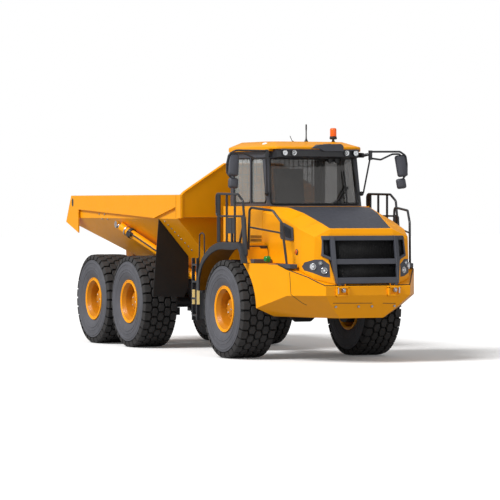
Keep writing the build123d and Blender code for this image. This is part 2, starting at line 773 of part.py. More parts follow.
DECK_PLAN = ((480, 800), (1750, 790), (1960, 720), (2060, 600), (2110, 420))
with BuildPart() as bumper:
    add(bumper_form(0.0))
    add(bumper_form(BUMPER_WALL), mode=Mode.SUBTRACT)
    left = [(ahead(x), y) for x, y in DECK_PLAN]
    right = [(x, -y) for x, y in reversed(left)]
    prism((*left, *right), Plane.XY.offset(1100), 500, mode=Mode.SUBTRACT)
    block((FRONT + 400, FRONT + 1000), (-720, 720), (BUMPER_LOW - 60, 1600), mode=Mode.SUBTRACT)
    for hand in (1, -1):
        for y in (KNUCKLE_Y[0] - 12, KNUCKLE_Y[1] + 12):
            bar((HINGE_X, hand * y - 8, HINGE_Z), (HINGE_X, hand * y + 8, HINGE_Z), HINGE_R)
            block(
                (HINGE_X - HINGE_R, HINGE_X + HINGE_R),
                (hand * y - 8, hand * y + 8),
                (1120, HINGE_Z),
            )
        low, high = sorted((hand * (KNUCKLE_Y[0] - 20), hand * (KNUCKLE_Y[1] + 20)))
        bar((HINGE_X, low, HINGE_Z), (HINGE_X, high, HINGE_Z), HINGE_PIN)
save("bumper", bumper.part)

# Tow lugs on the bumper's face
LUG_Y = 420.0
LUG_Z = 1076.0
LUG_R = 34.0
LUG_BORE = 16.0
lug_x = FRONT + FRONT_REACH - LUG_R
with BuildPart() as lugs:
    bar((lug_x, LUG_Y - 20, LUG_Z), (lug_x, LUG_Y + 20, LUG_Z), LUG_R)
    block((BUMPER_FACE, lug_x), (LUG_Y - 20, LUG_Y + 20), (LUG_Z - LUG_R, LUG_Z + LUG_R))
    bar((lug_x, LUG_Y - 20, LUG_Z), (lug_x, LUG_Y + 20, LUG_Z), LUG_BORE, mode=Mode.SUBTRACT)
    mirror(about=Plane.XZ)
save("tow_lugs", lugs.part)

# Mudguards over the front wheels: skin with a deep outer lip
WING_Y = (910.0, 1360.0)
WING_LINE = ((760, 1455.3), (520, DECK_Z), (-300, DECK_Z), (-830, 1480), (-944, 1006))
WING_SKIN = ((725, 1455.3), (508, DECK_Z - SHEET), (-294, DECK_Z - SHEET), (-808, 1463), (-918, 1006))
WING_LIP = ((690, 1455.3), (480, 1647), (-274, 1647), (-735, 1406), (-831, 1006))
WING_BENDS = (220.0, 195.0, 110.0)  # of the three lines
with BuildPart() as mudguards:
    line, skin, lip = ([(FRONT + x, z) for x, z in points] for points in (WING_LINE, WING_SKIN, WING_LIP))
    sheet(line, skin, (WING_BENDS[0], WING_BENDS[1]), WING_Y[0], WING_Y[1] - SHEET)
    sheet(line, lip, (WING_BENDS[0], WING_BENDS[2]), WING_Y[1] - SHEET, WING_Y[1])
    mirror(about=Plane.XZ)
save("mudguards", mudguards.part)

# Cab body below the belt, with its floor, its firewall and the doorway on the left
FLOOR_T = 45.0
DOOR_SILL = DECK_Z + FLOOR_T
DOOR_TOP = EAVES_Z - DOOR_HEAD
with BuildPart() as cab_body:
    block((CAB_REAR, CAB_FRONT), (-CAB_HALF, CAB_HALF), (DECK_Z, BELT_Z))
    block(
        (CAB_REAR + CAB_WALL, CAB_FRONT - CAB_WALL),
        (-CAB_HALF + CAB_WALL, CAB_HALF - CAB_WALL),
        (DOOR_SILL, BELT_Z - CAB_WALL),
        mode=Mode.SUBTRACT,
    )
    block(
        (CAB_REAR + CAB_WALL, CAB_FRONT - CAB_WALL),
        (-UPPER_HALF + CAB_WALL, UPPER_HALF - CAB_WALL),
        (DOOR_SILL, BELT_Z + 1),
        mode=Mode.SUBTRACT,
    )
    block(
        (DOOR_REAR - RUN, DOOR_FRONT + RUN),
        (UPPER_HALF - CAB_WALL - 1, CAB_HALF + 1),
        (DOOR_SILL, BELT_Z + 1),
        mode=Mode.SUBTRACT,
    )
    for z in DOOR_HINGES_Z:
        for way in (1, -1):
            low, high = sorted((z + way * (20 + FIT), z + way * 34))
            bar((*DOOR_AXIS, low), (*DOOR_AXIS, high), DOOR_HINGE_R)
            block((DOOR_AXIS[0], DOOR_AXIS[0] + 45), (CAB_HALF, CAB_HALF + 8), (low, high))
        bar((*DOOR_AXIS, z - 34), (*DOOR_AXIS, z + 34), DOOR_PIN)
save("cab_body", cab_body.part)

# Cab frame above the belt: pillars, sills and header, with window openings cut
SCREEN_LOW = (FRONT + 458, BELT_Z)
SCREEN_HIGH = (FRONT + 280, EAVES_Z)
SCREEN_LEAN = (SCREEN_LOW[0] - SCREEN_HIGH[0]) / (EAVES_Z - BELT_Z)
COWL_HALF = 750.0
COWL_T = 14.0
SPLIT_X = FRONT - 214.0  # bar between the right side's windows
SPLIT_T = 36.0
SIDE_BAR = 70.0  # pillar behind the left front window
WINDOW_LOW = BELT_Z + 40
WINDOW_HIGH = EAVES_Z - 90
SIDE_WINDOWS = (  # rear edge, and the places across the truck that the cut runs between
    (DOOR_FRONT + SIDE_BAR, 0.0, CAB_HALF),
    (SPLIT_X + SPLIT_T / 2, -CAB_HALF, 0.0),
)


def window_line(rear, gap):
    """Outline in (x, z) of a front side window, pulled in by a gap."""
    return (
        (rear + gap, WINDOW_LOW + gap),
        (SCREEN_LOW[0] - 80 - gap, WINDOW_LOW + gap),
        (SCREEN_HIGH[0] - 60 - gap, WINDOW_HIGH - gap),
        (rear + gap, WINDOW_HIGH - gap),
    )


with BuildPart() as cab_frame:
    slab(
        ((CAB_REAR, BELT_Z), SCREEN_LOW, SCREEN_HIGH, (CAB_REAR, EAVES_Z)),
        -UPPER_HALF,
        UPPER_HALF,
    )
    slab(
        (
            (CAB_REAR + CAB_WALL, BELT_Z - 1),
            (SCREEN_LOW[0] - CAB_WALL, BELT_Z - 1),
            (SCREEN_HIGH[0] - CAB_WALL, EAVES_Z + 1),
            (CAB_REAR + CAB_WALL, EAVES_Z + 1),
        ),
        -UPPER_HALF + CAB_WALL,
        UPPER_HALF - CAB_WALL,
        mode=Mode.SUBTRACT,
    )
    block(
        (FRONT + 100, CAB_FRONT),
        (-UPPER_HALF + 70, UPPER_HALF - 70),
        (WINDOW_LOW, WINDOW_HIGH),
        mode=Mode.SUBTRACT,
    )
    block(
        (CAB_REAR - 1, CAB_REAR + CAB_WALL + 1),
        (-UPPER_HALF + 120, UPPER_HALF - 120),
        (WINDOW_LOW, WINDOW_HIGH),
        mode=Mode.SUBTRACT,
    )
    for rear, low, high in SIDE_WINDOWS:
        slab(window_line(rear, 0.0), low, high, mode=Mode.SUBTRACT)
    block(
        (DOOR_REAR + 50, SPLIT_X - SPLIT_T / 2),
        (-CAB_HALF, 0),
        (WINDOW_LOW, WINDOW_HIGH),
        mode=Mode.SUBTRACT,
    )
    block(
        (DOOR_REAR - RUN, DOOR_FRONT + RUN),
        (0, CAB_HALF),
        (BELT_Z - 1, DOOR_TOP),
        mode=Mode.SUBTRACT,
    )
    block((SCREEN_LOW[0] - CAB_WALL, CAB_FRONT), (-COWL_HALF, COWL_HALF), (BELT_Z, BELT_Z + COWL_T))
save("cab_frame", cab_frame.part)

# Roof with a bowed front that overhangs the windscreen: (x from the front axle, y) of its plan
ROOF_REACH = 645.0
ROOF_PLAN = (
    (-970, 760),
    (-940, 815),
    (-860, 840),
    (250, 840),
    (420, 780),
    (560, 700),
    (625, 570),
    (ROOF_REACH, 300),
)
CROWN_PLAN = (
    (-850, 590),
    (-820, 645),
    (-740, 660),
    (20, 660),
    (130, 610),
    (210, 545),
    (250, 440),
    (262, 230),
)
OVERHANG_X = FRONT + 430.0  # the roof's underside steps up ahead of this
OVERHANG_Z = EAVES_Z + 28.0


def mirrored(points, inset=0.0):
    """Both halves of a plan from the left half's (x from the front axle, y), pulled in at the edges."""
    left = [(FRONT + x - inset, y - inset) for x, y in points]
    return (*left, *[(x, -y) for x, y in reversed(left)])


with BuildPart() as roof:
    prism(mirrored(ROOF_PLAN), Plane.XY.offset(EAVES_Z), ROOF_EDGE_Z - EAVES_Z)
    for plan, z in ((ROOF_PLAN, ROOF_EDGE_Z), (CROWN_PLAN, ROOF_Z)):
        with BuildSketch(Plane.XY.offset(z)):
            with BuildLine():
                Polyline(*mirrored(plan), close=True)
            make_face()
    loft(ruled=True)
    block(
        (OVERHANG_X, OVERHANG_X + 400), (-CAB_HALF, CAB_HALF), (EAVES_Z - 1, OVERHANG_Z), mode=Mode.SUBTRACT
    )
save("cab_roof", roof.part)

# Visor under the overhang, and the hood of the air intake on the roof's front: (y, height over the eaves)
HOOD = ((-120, 55), (0, 87), (150, 115), (320, 86), (384, 38), (384, -10), (-120, -10))
HOOD_X = (FRONT + 440.0, FRONT + 630.0)
VISOR_INSET = 16.0
VISOR_LOW_Z = EAVES_Z - 117.0
VISOR_LIP_Z = EAVES_Z - 78.0
VISOR_X = FRONT + ROOF_REACH - VISOR_INSET
with BuildPart() as visor:
    prism(mirrored(ROOF_PLAN, VISOR_INSET), Plane.XY.offset(VISOR_LOW_Z - 13), 300)
    foot_x = SCREEN_LOW[0] - SCREEN_LEAN * (VISOR_LOW_Z - BELT_Z) + FIT
    slab(
        (
            (foot_x, VISOR_LOW_Z),
            (VISOR_X + 1, VISOR_LIP_Z),
            (VISOR_X + 1, OVERHANG_Z - FIT),
            (OVERHANG_X + FIT, OVERHANG_Z - FIT),
            (OVERHANG_X + FIT, EAVES_Z - FIT),
            (SCREEN_HIGH[0] + FIT, EAVES_Z - FIT),
        ),
        -700,
        700,
        mode=Mode.INTERSECT,
    )
    prism([(y, EAVES_Z + z) for y, z in HOOD], across(HOOD_X[0]), HOOD_X[1] - HOOD_X[0])
    add(roof.part, mode=Mode.SUBTRACT)
save("roof_visor", visor.part)

# Windscreen and other fixed glass
GLASS_T = 12.0
GLASS_IN = 20.0  # behind the pillars' outer faces
with BuildPart() as windscreen:
    low_x = SCREEN_LOW[0] - SCREEN_LEAN * (WINDOW_LOW - BELT_Z) - GLASS_IN
    high_x = SCREEN_LOW[0] - SCREEN_LEAN * (WINDOW_HIGH - BELT_Z) - GLASS_IN
    slab(
        (
            (low_x - GLASS_T, WINDOW_LOW + FIT),
            (low_x, WINDOW_LOW + FIT),
            (high_x, WINDOW_HIGH - FIT),
            (high_x - GLASS_T, WINDOW_HIGH - FIT),
        ),
        -UPPER_HALF + 70 + FIT,
        UPPER_HALF - 70 - FIT,
    )
save("windscreen", windscreen.part)
with BuildPart() as windows:
    block(
        (CAB_REAR + 20, CAB_REAR + 20 + GLASS_T),
        (-UPPER_HALF + 120 + FIT, UPPER_HALF - 120 - FIT),
        (WINDOW_LOW + FIT, WINDOW_HIGH - FIT),
    )
    out = UPPER_HALF - GLASS_IN
    for (rear, inner, outer), hand in zip(SIDE_WINDOWS, (1, -1)):
        low, high = sorted((hand * (out - GLASS_T), hand * out))
        slab(window_line(rear, FIT), low, high)
    block(
        (DOOR_REAR + 50 + FIT, SPLIT_X - SPLIT_T / 2 - FIT),
        (-out, -out + GLASS_T),
        (WINDOW_LOW + FIT, WINDOW_HIGH - FIT),
    )
save("cab_windows", windows.part)

# Door: lower leaf out at the body's side, upper frame in line with the pillars
DOOR_LOW = DOOR_SILL + RUN
DOOR_HIGH = DOOR_TOP - RUN
BEVEL = 22.0  # rear edge, so that its inner corner swings out past the jamb
with BuildPart() as door:
    block(
        (DOOR_REAR, DOOR_FRONT),
        (CAB_HALF - CAB_WALL, CAB_HALF),
        (DOOR_LOW, BELT_Z),
    )
    prism(
        (
            (DOOR_REAR, CAB_HALF),
            (DOOR_FRONT, CAB_HALF),
            (DOOR_FRONT, UPPER_HALF - CAB_WALL),
            (DOOR_REAR + BEVEL + 12, UPPER_HALF - CAB_WALL),
        ),
        Plane.XY.offset(BELT_Z - 40),
        40,
    )
    prism(
        (
            (DOOR_REAR + 10, UPPER_HALF),
            (DOOR_FRONT, UPPER_HALF),
            (DOOR_FRONT, UPPER_HALF - CAB_WALL),
            (DOOR_REAR + BEVEL + 12, UPPER_HALF - CAB_WALL),
        ),
        Plane.XY.offset(BELT_Z - 1),
        DOOR_HIGH - BELT_Z + 1,
    )
    block(
        (DOOR_REAR + 90, DOOR_FRONT - 60),
        (0, UPPER_HALF + 1),
        (WINDOW_LOW, DOOR_HIGH - 60),
        mode=Mode.SUBTRACT,
    )
    for z in DOOR_HINGES_Z:
        bar((*DOOR_AXIS, z - 20), (*DOOR_AXIS, z + 20), DOOR_HINGE_R)
        block((DOOR_AXIS[0] - 45, DOOR_AXIS[0]), (CAB_HALF, CAB_HALF + 8), (z - 20, z + 20))
        bar((*DOOR_AXIS, z - 20), (*DOOR_AXIS, z + 20), DOOR_PIN + FIT, mode=Mode.SUBTRACT)
save("door", door.part)
with BuildPart() as door_glass:
    block(
        (DOOR_REAR + 90 + FIT, DOOR_FRONT - 60 - FIT),
        (UPPER_HALF - 20 - GLASS_T, UPPER_HALF - 20),
        (WINDOW_LOW + FIT, DOOR_HIGH - 60 - FIT),
    )
save("door_glass", door_glass.part)

# Seat and console in the cab
SEAT_TOP = EAVES_Z - 248.0
with BuildPart() as seat:
    block((FRONT - 480, FRONT + 20), (-240, 240), (DOOR_SILL + 320, DOOR_SILL + 440))
    slab(
        (
            (FRONT - 480, DOOR_SILL + 440),
            (FRONT - 370, DOOR_SILL + 440),
            (FRONT - 470, SEAT_TOP),
            (FRONT - 570, SEAT_TOP),
        ),
        -230,
        230,
    )
    block((FRONT - 400, FRONT - 60), (-170, 170), (DOOR_SILL, DOOR_SILL + 320))
save("seat", seat.part)
with BuildPart() as console:
    slab(
        (
            (FRONT + 180, DOOR_SILL),
            (CAB_FRONT - CAB_WALL, DOOR_SILL),
            (CAB_FRONT - CAB_WALL, BELT_Z - 60),
            (FRONT + 250, BELT_Z + 20),
            (FRONT + 180, BELT_Z - 80),
        ),
        -500,
        500,
    )
save("cab_console", console.part)

# Bonnet sections: x from the front axle, lower y, shoulder y and z, crest y and z
BONNET_SECTIONS = (
    (440, 902, 902, 2215, 752, 2296),
    (950, 889, 886, 2160, 682, 2279),
    (1330, 879, 871, 2075, 620, 2197),
    (1700, 870, 860, 1960, 550, 2070),
    (2000, 790, 765, 1850, 506, 1966),
    (2045, 735, 690, 1800, 490, 1872),
    (2200, 450, 440, 1700, 400, 1790),
)
BONNET_REAR = CAB_FRONT + SEAM
NOSE_TOP = (ahead(2037), 1872.0)
FRONT_WALL = 60.0


def bonnet_form(inset, nose_inset):
    """The bonnet's outer form, pulled in by a wall, with its own inset behind the nose."""
    with BuildPart() as form:
        for x, y_low, y_side, z_side, y_crest, z_crest in BONNET_SECTIONS:
            half = (
                (y_low - inset, 1050),
                (y_side - inset, z_side - inset / 2),
                (y_crest - inset / 3, z_crest - inset),
            )
            with BuildSketch(across(ahead(x))):
                with BuildLine():
                    Polyline(*half, *[(-y, z) for y, z in reversed(half)], close=True)
                make_face()
        loft(ruled=True)
        split(
            bisect_by=Plane(origin=(NOSE_TOP[0] - nose_inset, 0, NOSE_TOP[1]), z_dir=(1, 0, NOSE_LEAN)),
            keep=Keep.BOTTOM,
        )
    return form.part


def under_bonnet(gap):
    """Everything below the bonnet's parting line, in (x, z)."""
    line = [(ahead(x), z + gap) for x, z in BUMPER_TOP]
    ends = ((line[0][0] - 300, line[0][1]), (line[-1][0] + 60, line[-1][1]))
    return (ends[0], *line, ends[1], (ends[1][0], 900), (ends[0][0], 900))


PANEL_PLAN = ((494, 738), (950, 675), (1330, 613), (1700, 543), (1965, 500))
PANEL_T = 12.0
GRILLE = ((655, 1860), (690, 1575), (587, 1530), (482, 1140))
GRILLE_RAISE = 48.0  # how far the grille's middle stands out
GRILLE_BACK = 40.0  # how deep the middle's block runs behind the nose's plane
RAISED = ((690, 0), (520, GRILLE_RAISE))  # y and height over the nose's plane
RAISED_Z = (1180.0, 1862.0)
MESH_DEPTH = 34.0
MESH_WINDOWS = (  # (y, z) of the openings, the last two for one side
    ((-490, 1262), (490, 1262), (490, 1452), (-490, 1452)),
    ((-490, 1532), (490, 1532), (490, 1798), (-490, 1798)),
    ((560, 1556), (652, 1596), (644, 1806), (560, 1806)),
    ((-560, 1556), (-652, 1596), (-644, 1806), (-560, 1806)),
)
# Headlamp's outline on the left, on a plane turned outward: across the plane, and height
LAMP = (
    (44, 1414),
    (8, 1478),
    (-138, 1523),
    (-255, 1523),
    (-356, 1450),
    (-365, 1262),
    (-266, 1270),
    (-101, 1332),
    (8, 1360),
)
LAMP_TURN = radians(24.67)
LAMP_NEAR = 1860.0  # from the middle of the front axle to where the lamp's cut starts
LAMP_DEPTH = 500.0
outer_form = bonnet_form(0.0, 0.0)
panel_bed = bonnet_form(PANEL_T, 0.0)


def panel_plan(gap):
    left = [(ahead(x), y - gap) for x, y in PANEL_PLAN]
    left[0] = (left[0][0] + gap, left[0][1])
    left[-1] = (left[-1][0] - gap, left[-1][1])
    return (*left, *[(x, -y) for x, y in reversed(left)])


def lamp_window(hand, gap):
    """The prism of one side's headlamp, pulled in by a gap."""
    turned_x = (-hand * sin(LAMP_TURN), cos(LAMP_TURN), 0)
    normal = Vector(cos(LAMP_TURN), hand * sin(LAMP_TURN), 0)
    middle = Vector(NOSE_TOP[0] - 2037, 0, 0)
    with BuildSketch(Plane(origin=middle + normal * LAMP_NEAR, x_dir=turned_x, z_dir=normal)) as window:
        with BuildLine():
            Polyline(*[(hand * y, z) for y, z in LAMP], close=True)
        make_face()
        if gap:
            offset(amount=-gap, kind=Kind.INTERSECTION)
    extrude(window.sketch, amount=LAMP_DEPTH)


def grille_outline(gap):
    left = [(y - gap, z - gap if z > 1700 else z + gap if z < 1300 else z) for y, z in GRILLE]
    return (*left, *[(-y, z) for y, z in reversed(left)])


with BuildPart() as panel_cut:
    add(bonnet_form(-5.0, 0.0))
    prism(panel_plan(0.0), Plane.XY.offset(1700), 700, mode=Mode.INTERSECT)
    add(panel_bed, mode=Mode.SUBTRACT)
with BuildPart() as lamp_holes:
    for hand in (1, -1):
        lamp_window(hand, 0.0)
with BuildPart() as lamp_blanks:
    for hand in (1, -1):
        lamp_window(hand, FIT)
with BuildPart() as bonnet:
    add(outer_form)
    add(bonnet_form(BONNET_WALL, FRONT_WALL), mode=Mode.SUBTRACT)
    slab(under_bonnet(SEAM), -1000, 1000, mode=Mode.SUBTRACT)
    block((FRONT + 300, BONNET_REAR), (-1000, 1000), (900, 2400), mode=Mode.SUBTRACT)
    add(panel_cut.part, mode=Mode.SUBTRACT)
    prism(grille_outline(0.0), across(NOSE_TOP[0] - 77), 300, mode=Mode.SUBTRACT)
    add(lamp_holes.part, mode=Mode.SUBTRACT)
save("bonnet", bonnet.part)
with BuildPart() as bonnet_panel:
    add(outer_form)
    prism(panel_plan(FIT), Plane.XY.offset(1700), 700, mode=Mode.INTERSECT)
    add(bonnet_form(PANEL_T - FIT, 0.0), mode=Mode.SUBTRACT)
save("bonnet_panel", bonnet_panel.part)

# Grille on the nose's plane, with the knuckles of the bonnet's hinge at its foot
with BuildPart() as grille:
    add(bonnet_form(-30.0, 8.0))
    down = Vector(NOSE_LEAN, 0, -1).normalized()
    nose = Vector(NOSE_TOP[0], 0, NOSE_TOP[1])
    raised = (*RAISED, *[(-y, out) for y, out in reversed(RAISED)])
    raised = (*raised, (-RAISED[0][0], -GRILLE_BACK), (RAISED[0][0], -GRILLE_BACK))
    top = nose + down * (NOSE_TOP[1] - RAISED_Z[1]) * NOSE_SLANT
    prism(
        raised, Plane(origin=top, x_dir=(0, 1, 0), z_dir=down), (RAISED_Z[1] - RAISED_Z[0]) * NOSE_SLANT
    )
    prism(grille_outline(FIT), across(NOSE_TOP[0] - 137), 400, mode=Mode.INTERSECT)
    out = Vector(1, 0, NOSE_LEAN).normalized()
    for points in MESH_WINDOWS:
        rise = GRILLE_RAISE if points[0][0] * points[1][0] < 0 else 0.0
        floor = Plane(origin=nose + out * (rise - MESH_DEPTH), x_dir=(0, 1, 0), z_dir=out)
        prism([(y, (z - NOSE_TOP[1]) * NOSE_SLANT) for y, z in points], floor, 100, mode=Mode.SUBTRACT)
    split(
        bisect_by=Plane(origin=(NOSE_TOP[0] - FRONT_WALL, 0, NOSE_TOP[1]), z_dir=(1, 0, NOSE_LEAN)),
        keep=Keep.TOP,
    )
    slab(under_bonnet(SEAM), -1000, 1000, mode=Mode.SUBTRACT)
    for hand in (1, -1):
        low, high = sorted((hand * KNUCKLE_Y[0], hand * KNUCKLE_Y[1]))
        bar((HINGE_X, low, HINGE_Z), (HINGE_X, high, HINGE_Z), HINGE_R)
        slab(
            (
                (HINGE_X - 50, HINGE_Z + 33),
                (HINGE_X - 50, HINGE_Z + 14),
                (HINGE_X, HINGE_Z - 10),
                (HINGE_X, HINGE_Z + HINGE_R),
            ),
            low,
            high,
        )
        bar((HINGE_X, low, HINGE_Z), (HINGE_X, high, HINGE_Z), HINGE_PIN + FIT, mode=Mode.SUBTRACT)
save("grille", grille.part)
with BuildPart() as lamps:
    add(bonnet_form(4.0, 4.0))
    add(lamp_blanks.part, mode=Mode.INTERSECT)
    add(bonnet_form(BONNET_WALL + 60, FRONT_WALL + 60), mode=Mode.SUBTRACT)
    prism(grille_outline(-FIT), across(NOSE_TOP[0] - 337), 600, mode=Mode.SUBTRACT)
save("headlamps", lamps.part)

# Tipping cylinders: barrel with its base eye, rod with its end eye and a round-ended pin
ROD_BACK = 70.0  # base eye to the rod's inner end at rest
for name, hand in (("left", 1), ("right", -1)):
    base, eye, swing = tip_line(hand)
    run = eye - base
    reach = run.normalized()
    barrel_end = base + reach * (run.length - 110)
    with BuildPart() as barrel:
        bar(tuple(base + reach * 75), tuple(barrel_end), TIP_R)
        bar(tuple(base), tuple(base + reach * 80), SHANK_R)
        bar(
            tuple(base - swing * (TIP_EYE_T / 2)),
            tuple(base + swing * (TIP_EYE_T / 2)),
            TIP_EYE_R,
        )
        bar(tuple(base - swing * 60), tuple(base + swing * 60), TIP_PIN + FIT, mode=Mode.SUBTRACT)
        bar(
            tuple(base + reach * (ROD_BACK + 30)),
            tuple(barrel_end + reach),
            TIP_ROD + FIT,
            mode=Mode.SUBTRACT,
        )
    save("tip_barrel_" + name, barrel.part)
    with BuildPart() as rod:
        bar(tuple(base + reach * (ROD_BACK + 30 + RUN)), tuple(eye - reach * 70), TIP_ROD)
        bar(tuple(eye - reach * 75), tuple(eye), SHANK_R)
        ball = (eye.X, eye.Y - hand * (TIP_LUG_BACK - FIT - TIP_PIN), eye.Z)
        bar(ball, (eye.X, eye.Y + hand * (TIP_EYE_T / 2 + 12), eye.Z), TIP_PIN)
        with Locations(ball):
            Sphere(TIP_PIN)
        bar(
            (eye.X, eye.Y - TIP_EYE_T / 2, eye.Z),
            (eye.X, eye.Y + TIP_EYE_T / 2, eye.Z),
            TIP_EYE_R,
        )
    save("tip_rod_" + name, rod.part)

# Steering cylinders: barrels pinned under the front frame's rails
for name, hand in (("left", 1), ("right", -1)):
    base = Vector(HITCH + STEER_BASE[0], hand * STEER_BASE[1], STEER_Z)
    eye = Vector(HITCH + STEER_EYE[0], hand * STEER_EYE[1], STEER_Z)
    run = eye - base
    reach = run.normalized()
    barrel_end = base + reach * 640
    with BuildPart() as barrel:
        bar(tuple(base + reach * 72), tuple(barrel_end), STEER_R)
        bar(tuple(base), tuple(base + reach * 76), STEER_ROD)
        bar((base.X, base.Y, STEER_Z - EYE_T / 2), (base.X, base.Y, STEER_Z + EYE_T / 2), 42)
        bar(
            (base.X, base.Y, STEER_Z - EYE_T),
            (base.X, base.Y, STEER_Z + EYE_T),
            STEER_PIN + FIT,
            mode=Mode.SUBTRACT,
        )
        bar(
            tuple(base + reach * 90),
            tuple(barrel_end + reach),
            STEER_ROD + FIT,
            mode=Mode.SUBTRACT,
        )
    save("steer_barrel_" + name, barrel.part)
    with BuildPart() as rod:
        bar(tuple(eye - reach * 640), tuple(eye), STEER_ROD)
        bar((eye.X, eye.Y, STEER_Z - EYE_T / 2), (eye.X, eye.Y, STEER_Z + EYE_T / 2), 42)
    save("steer_rod_" + name, rod.part)

# Handrails of the platform and of the service walk beside the bonnet
RAIL_R = 18.0
RAIL_Y = 1285.0
RAIL_MID_Z = 2150.0
RAIL_REAR = FRONT - 345.0
LEG = ((440, 2480), (620, 2380), (672, 2100), (500, DECK_Z))  # front bend and leg, (x, z) from the axle
POSTS = (-285, -232, 35)  # from the front axle
BOX_X = (FRONT + 50.0, FRONT + 330.0)
BOX_Z = (1890.0, 2130.0)
ROOT = 10.0  # how far a foot is cut to the surface that it stands on
SERVICE = ((710, 1215, 2284), (1320, 1120, 2235), (1500, 1060, 2060))


def height_on(line, x):
    """Height of a line of (x, z) points at a place from the front axle."""
    for (x0, z0), (x1, z1) in zip(line, line[1:]):
        if min(x0, x1) <= x <= max(x0, x1):
            return z0 + (z1 - z0) * (x - x0) / (x1 - x0)
    raise ValueError("the line does not reach there")


with BuildPart() as rails:
    top_z = LEG[0][1] + 10
    join_z = (RAIL_MID_Z + top_z) / 2
    leg = [(FRONT + x, RAIL_Y, z) for x, z in LEG[:-1]]
    foot = (FRONT + LEG[-1][0], RAIL_Y, LEG[-1][1] - ROOT)
    pipe(((RAIL_REAR, RAIL_Y, join_z), (RAIL_REAR, RAIL_Y, top_z), *leg, foot), RAIL_R, 60)
    mid_front = (FRONT + LEG[2][0] - 5, RAIL_Y, RAIL_MID_Z)
    pipe(((RAIL_REAR, RAIL_Y, join_z), (RAIL_REAR, RAIL_Y, RAIL_MID_Z), mid_front), RAIL_R * 0.8, 60)
    for x in (*POSTS, (BOX_X[1] - FRONT)):
        bar((FRONT + x, RAIL_Y, DECK_Z - ROOT), (FRONT + x, RAIL_Y, top_z - 4), RAIL_R)
    block(BOX_X, (RAIL_Y - 12, RAIL_Y + 12), BOX_Z)
    feet = [(ahead(x), y, height_on(BUMPER_TOP, x) - ROOT) for x, y in ((650, 1215), (1600, 1015))]
    pipe((feet[0], *[(ahead(x), y, z) for x, y, z in SERVICE], feet[1]), RAIL_R, 70)
    bar((ahead(692), 1215, 1990), (ahead(1535), 1045, 1900), RAIL_R * 0.75)
    mirror(about=Plane.XZ)
    add(mudguards.part, mode=Mode.SUBTRACT)
    add(bumper.part, mode=Mode.SUBTRACT)
save("handrails", rails.part)

# Mirrors on two bent arms from a bracket at the roof's front corner, with a stay to the pillar's foot
ARM_R = 12.0
MIRROR_X = FRONT + 565.0
BRACKET_Y = CAB_HALF - 30.0
MIRROR_Y = CAB_HALF + 513.0
HEADS = ((EAVES_Z - 211, 165, 335), (EAVES_Z - 482, 150, 155))  # middle height, width, height
HEAD_DEEP = 62.0
with BuildPart() as mirrors:
    bracket = Vector(MIRROR_X + 15, BRACKET_Y, EAVES_Z - 35)
    high = tuple(bracket + Vector(0, 0, 60))
    low = tuple(bracket - Vector(0, 0, 60))
    with Locations(bracket):
        Box(24, 36, 152)
    bar(tuple(bracket), (FRONT + 380, UPPER_HALF - 40, EAVES_Z + 32), 20)
    bend = (MIRROR_X, MIRROR_Y - 90, high[2] + 5)
    neck = (MIRROR_X, MIRROR_Y + 15, EAVES_Z - 392)
    pipe(
        (
            high,
            bend,
            (MIRROR_X, MIRROR_Y + 40, high[2] - 30),
            (MIRROR_X, MIRROR_Y + 105, high[2] - 300),
            (MIRROR_X, MIRROR_Y + 90, neck[2]),
            neck,
        ),
        ARM_R,
        30,
    )
    pipe((low, (MIRROR_X, BRACKET_Y + 150, low[2] - 8), (MIRROR_X, bend[1] + 10, bend[2] - 4)), ARM_R, 40)
    bar((MIRROR_X, MIRROR_Y - 10, high[2]), (MIRROR_X, MIRROR_Y - 10, HEADS[0][0]), ARM_R)
    bar((MIRROR_X, neck[1], HEADS[0][0]), (MIRROR_X, neck[1], HEADS[1][0]), ARM_R)
    for z, wide, tall in HEADS:
        with BuildSketch(across(MIRROR_X - HEAD_DEEP / 2)) as outline:
            with Locations((MIRROR_Y, z)):
                RectangleRounded(wide, tall, 30)
        extrude(outline.sketch, amount=HEAD_DEEP)
    bar(low, (SCREEN_LOW[0] - 40, UPPER_HALF + 6, BELT_Z + 90), ARM_R * 0.8)
    block(
        (SCREEN_LOW[0] - 66, SCREEN_LOW[0] - 24),
        (UPPER_HALF + FIT, UPPER_HALF + 16),
        (BELT_Z + 30, BELT_Z + 120),
    )
    mirror(about=Plane.XZ)
    add(roof.part, mode=Mode.SUBTRACT)
    add(visor.part, mode=Mode.SUBTRACT)
    add(cab_frame.part, mode=Mode.SUBTRACT)
save("mirrors", mirrors.part)

# Access steps behind the front wheels, with a grab loop at their top
STEP_X = (FRONT - 1160.0, FRONT - 985.0)
STEP_Z = (600.0, 860.0, 1120.0, 1380.0)
STEP_T = 50.0
with BuildPart() as steps:
    for x in STEP_X:
        block((x - 12, x + 12), (STEP_Y + FIT, STEP_Y + STEP_T), (540, 1500))
    for z in STEP_Z:
        block(STEP_X, (STEP_Y + FIT, STEP_Y + STEP_T), (z, z + 30))
    mirror(about=Plane.XZ)
save("steps", steps.part)

# Beacon on its stem, aerial and lamps on the roof
BEACON = (FRONT + 150.0, 450.0)
AERIAL = (FRONT + 130.0, 0.0)
LAMP_Y = (-594, -441, 441, 594)
LAMP_Z = EAVES_Z - 25.0
with BuildPart() as beacon:
    for start, end, radius in ((0, 45, 20), (40, 85, 56), (85, 215, 50)):
        bar((*BEACON, ROOF_Z + start), (*BEACON, ROOF_Z + end), radius)
    bar((*AERIAL, ROOF_Z), (*AERIAL, ROOF_Z + 270), 9)
save("beacon", beacon.part)
with BuildPart() as roof_lamps:
    for y in LAMP_Y:
        bar((VISOR_X - 100, y, LAMP_Z), (VISOR_X + 14, y, LAMP_Z), 46)
    add(visor.part, mode=Mode.SUBTRACT)
save("roof_lamps", roof_lamps.part)
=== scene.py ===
"""Looks of the articulated dump truck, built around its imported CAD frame. Metres, +X forward, +Y left."""

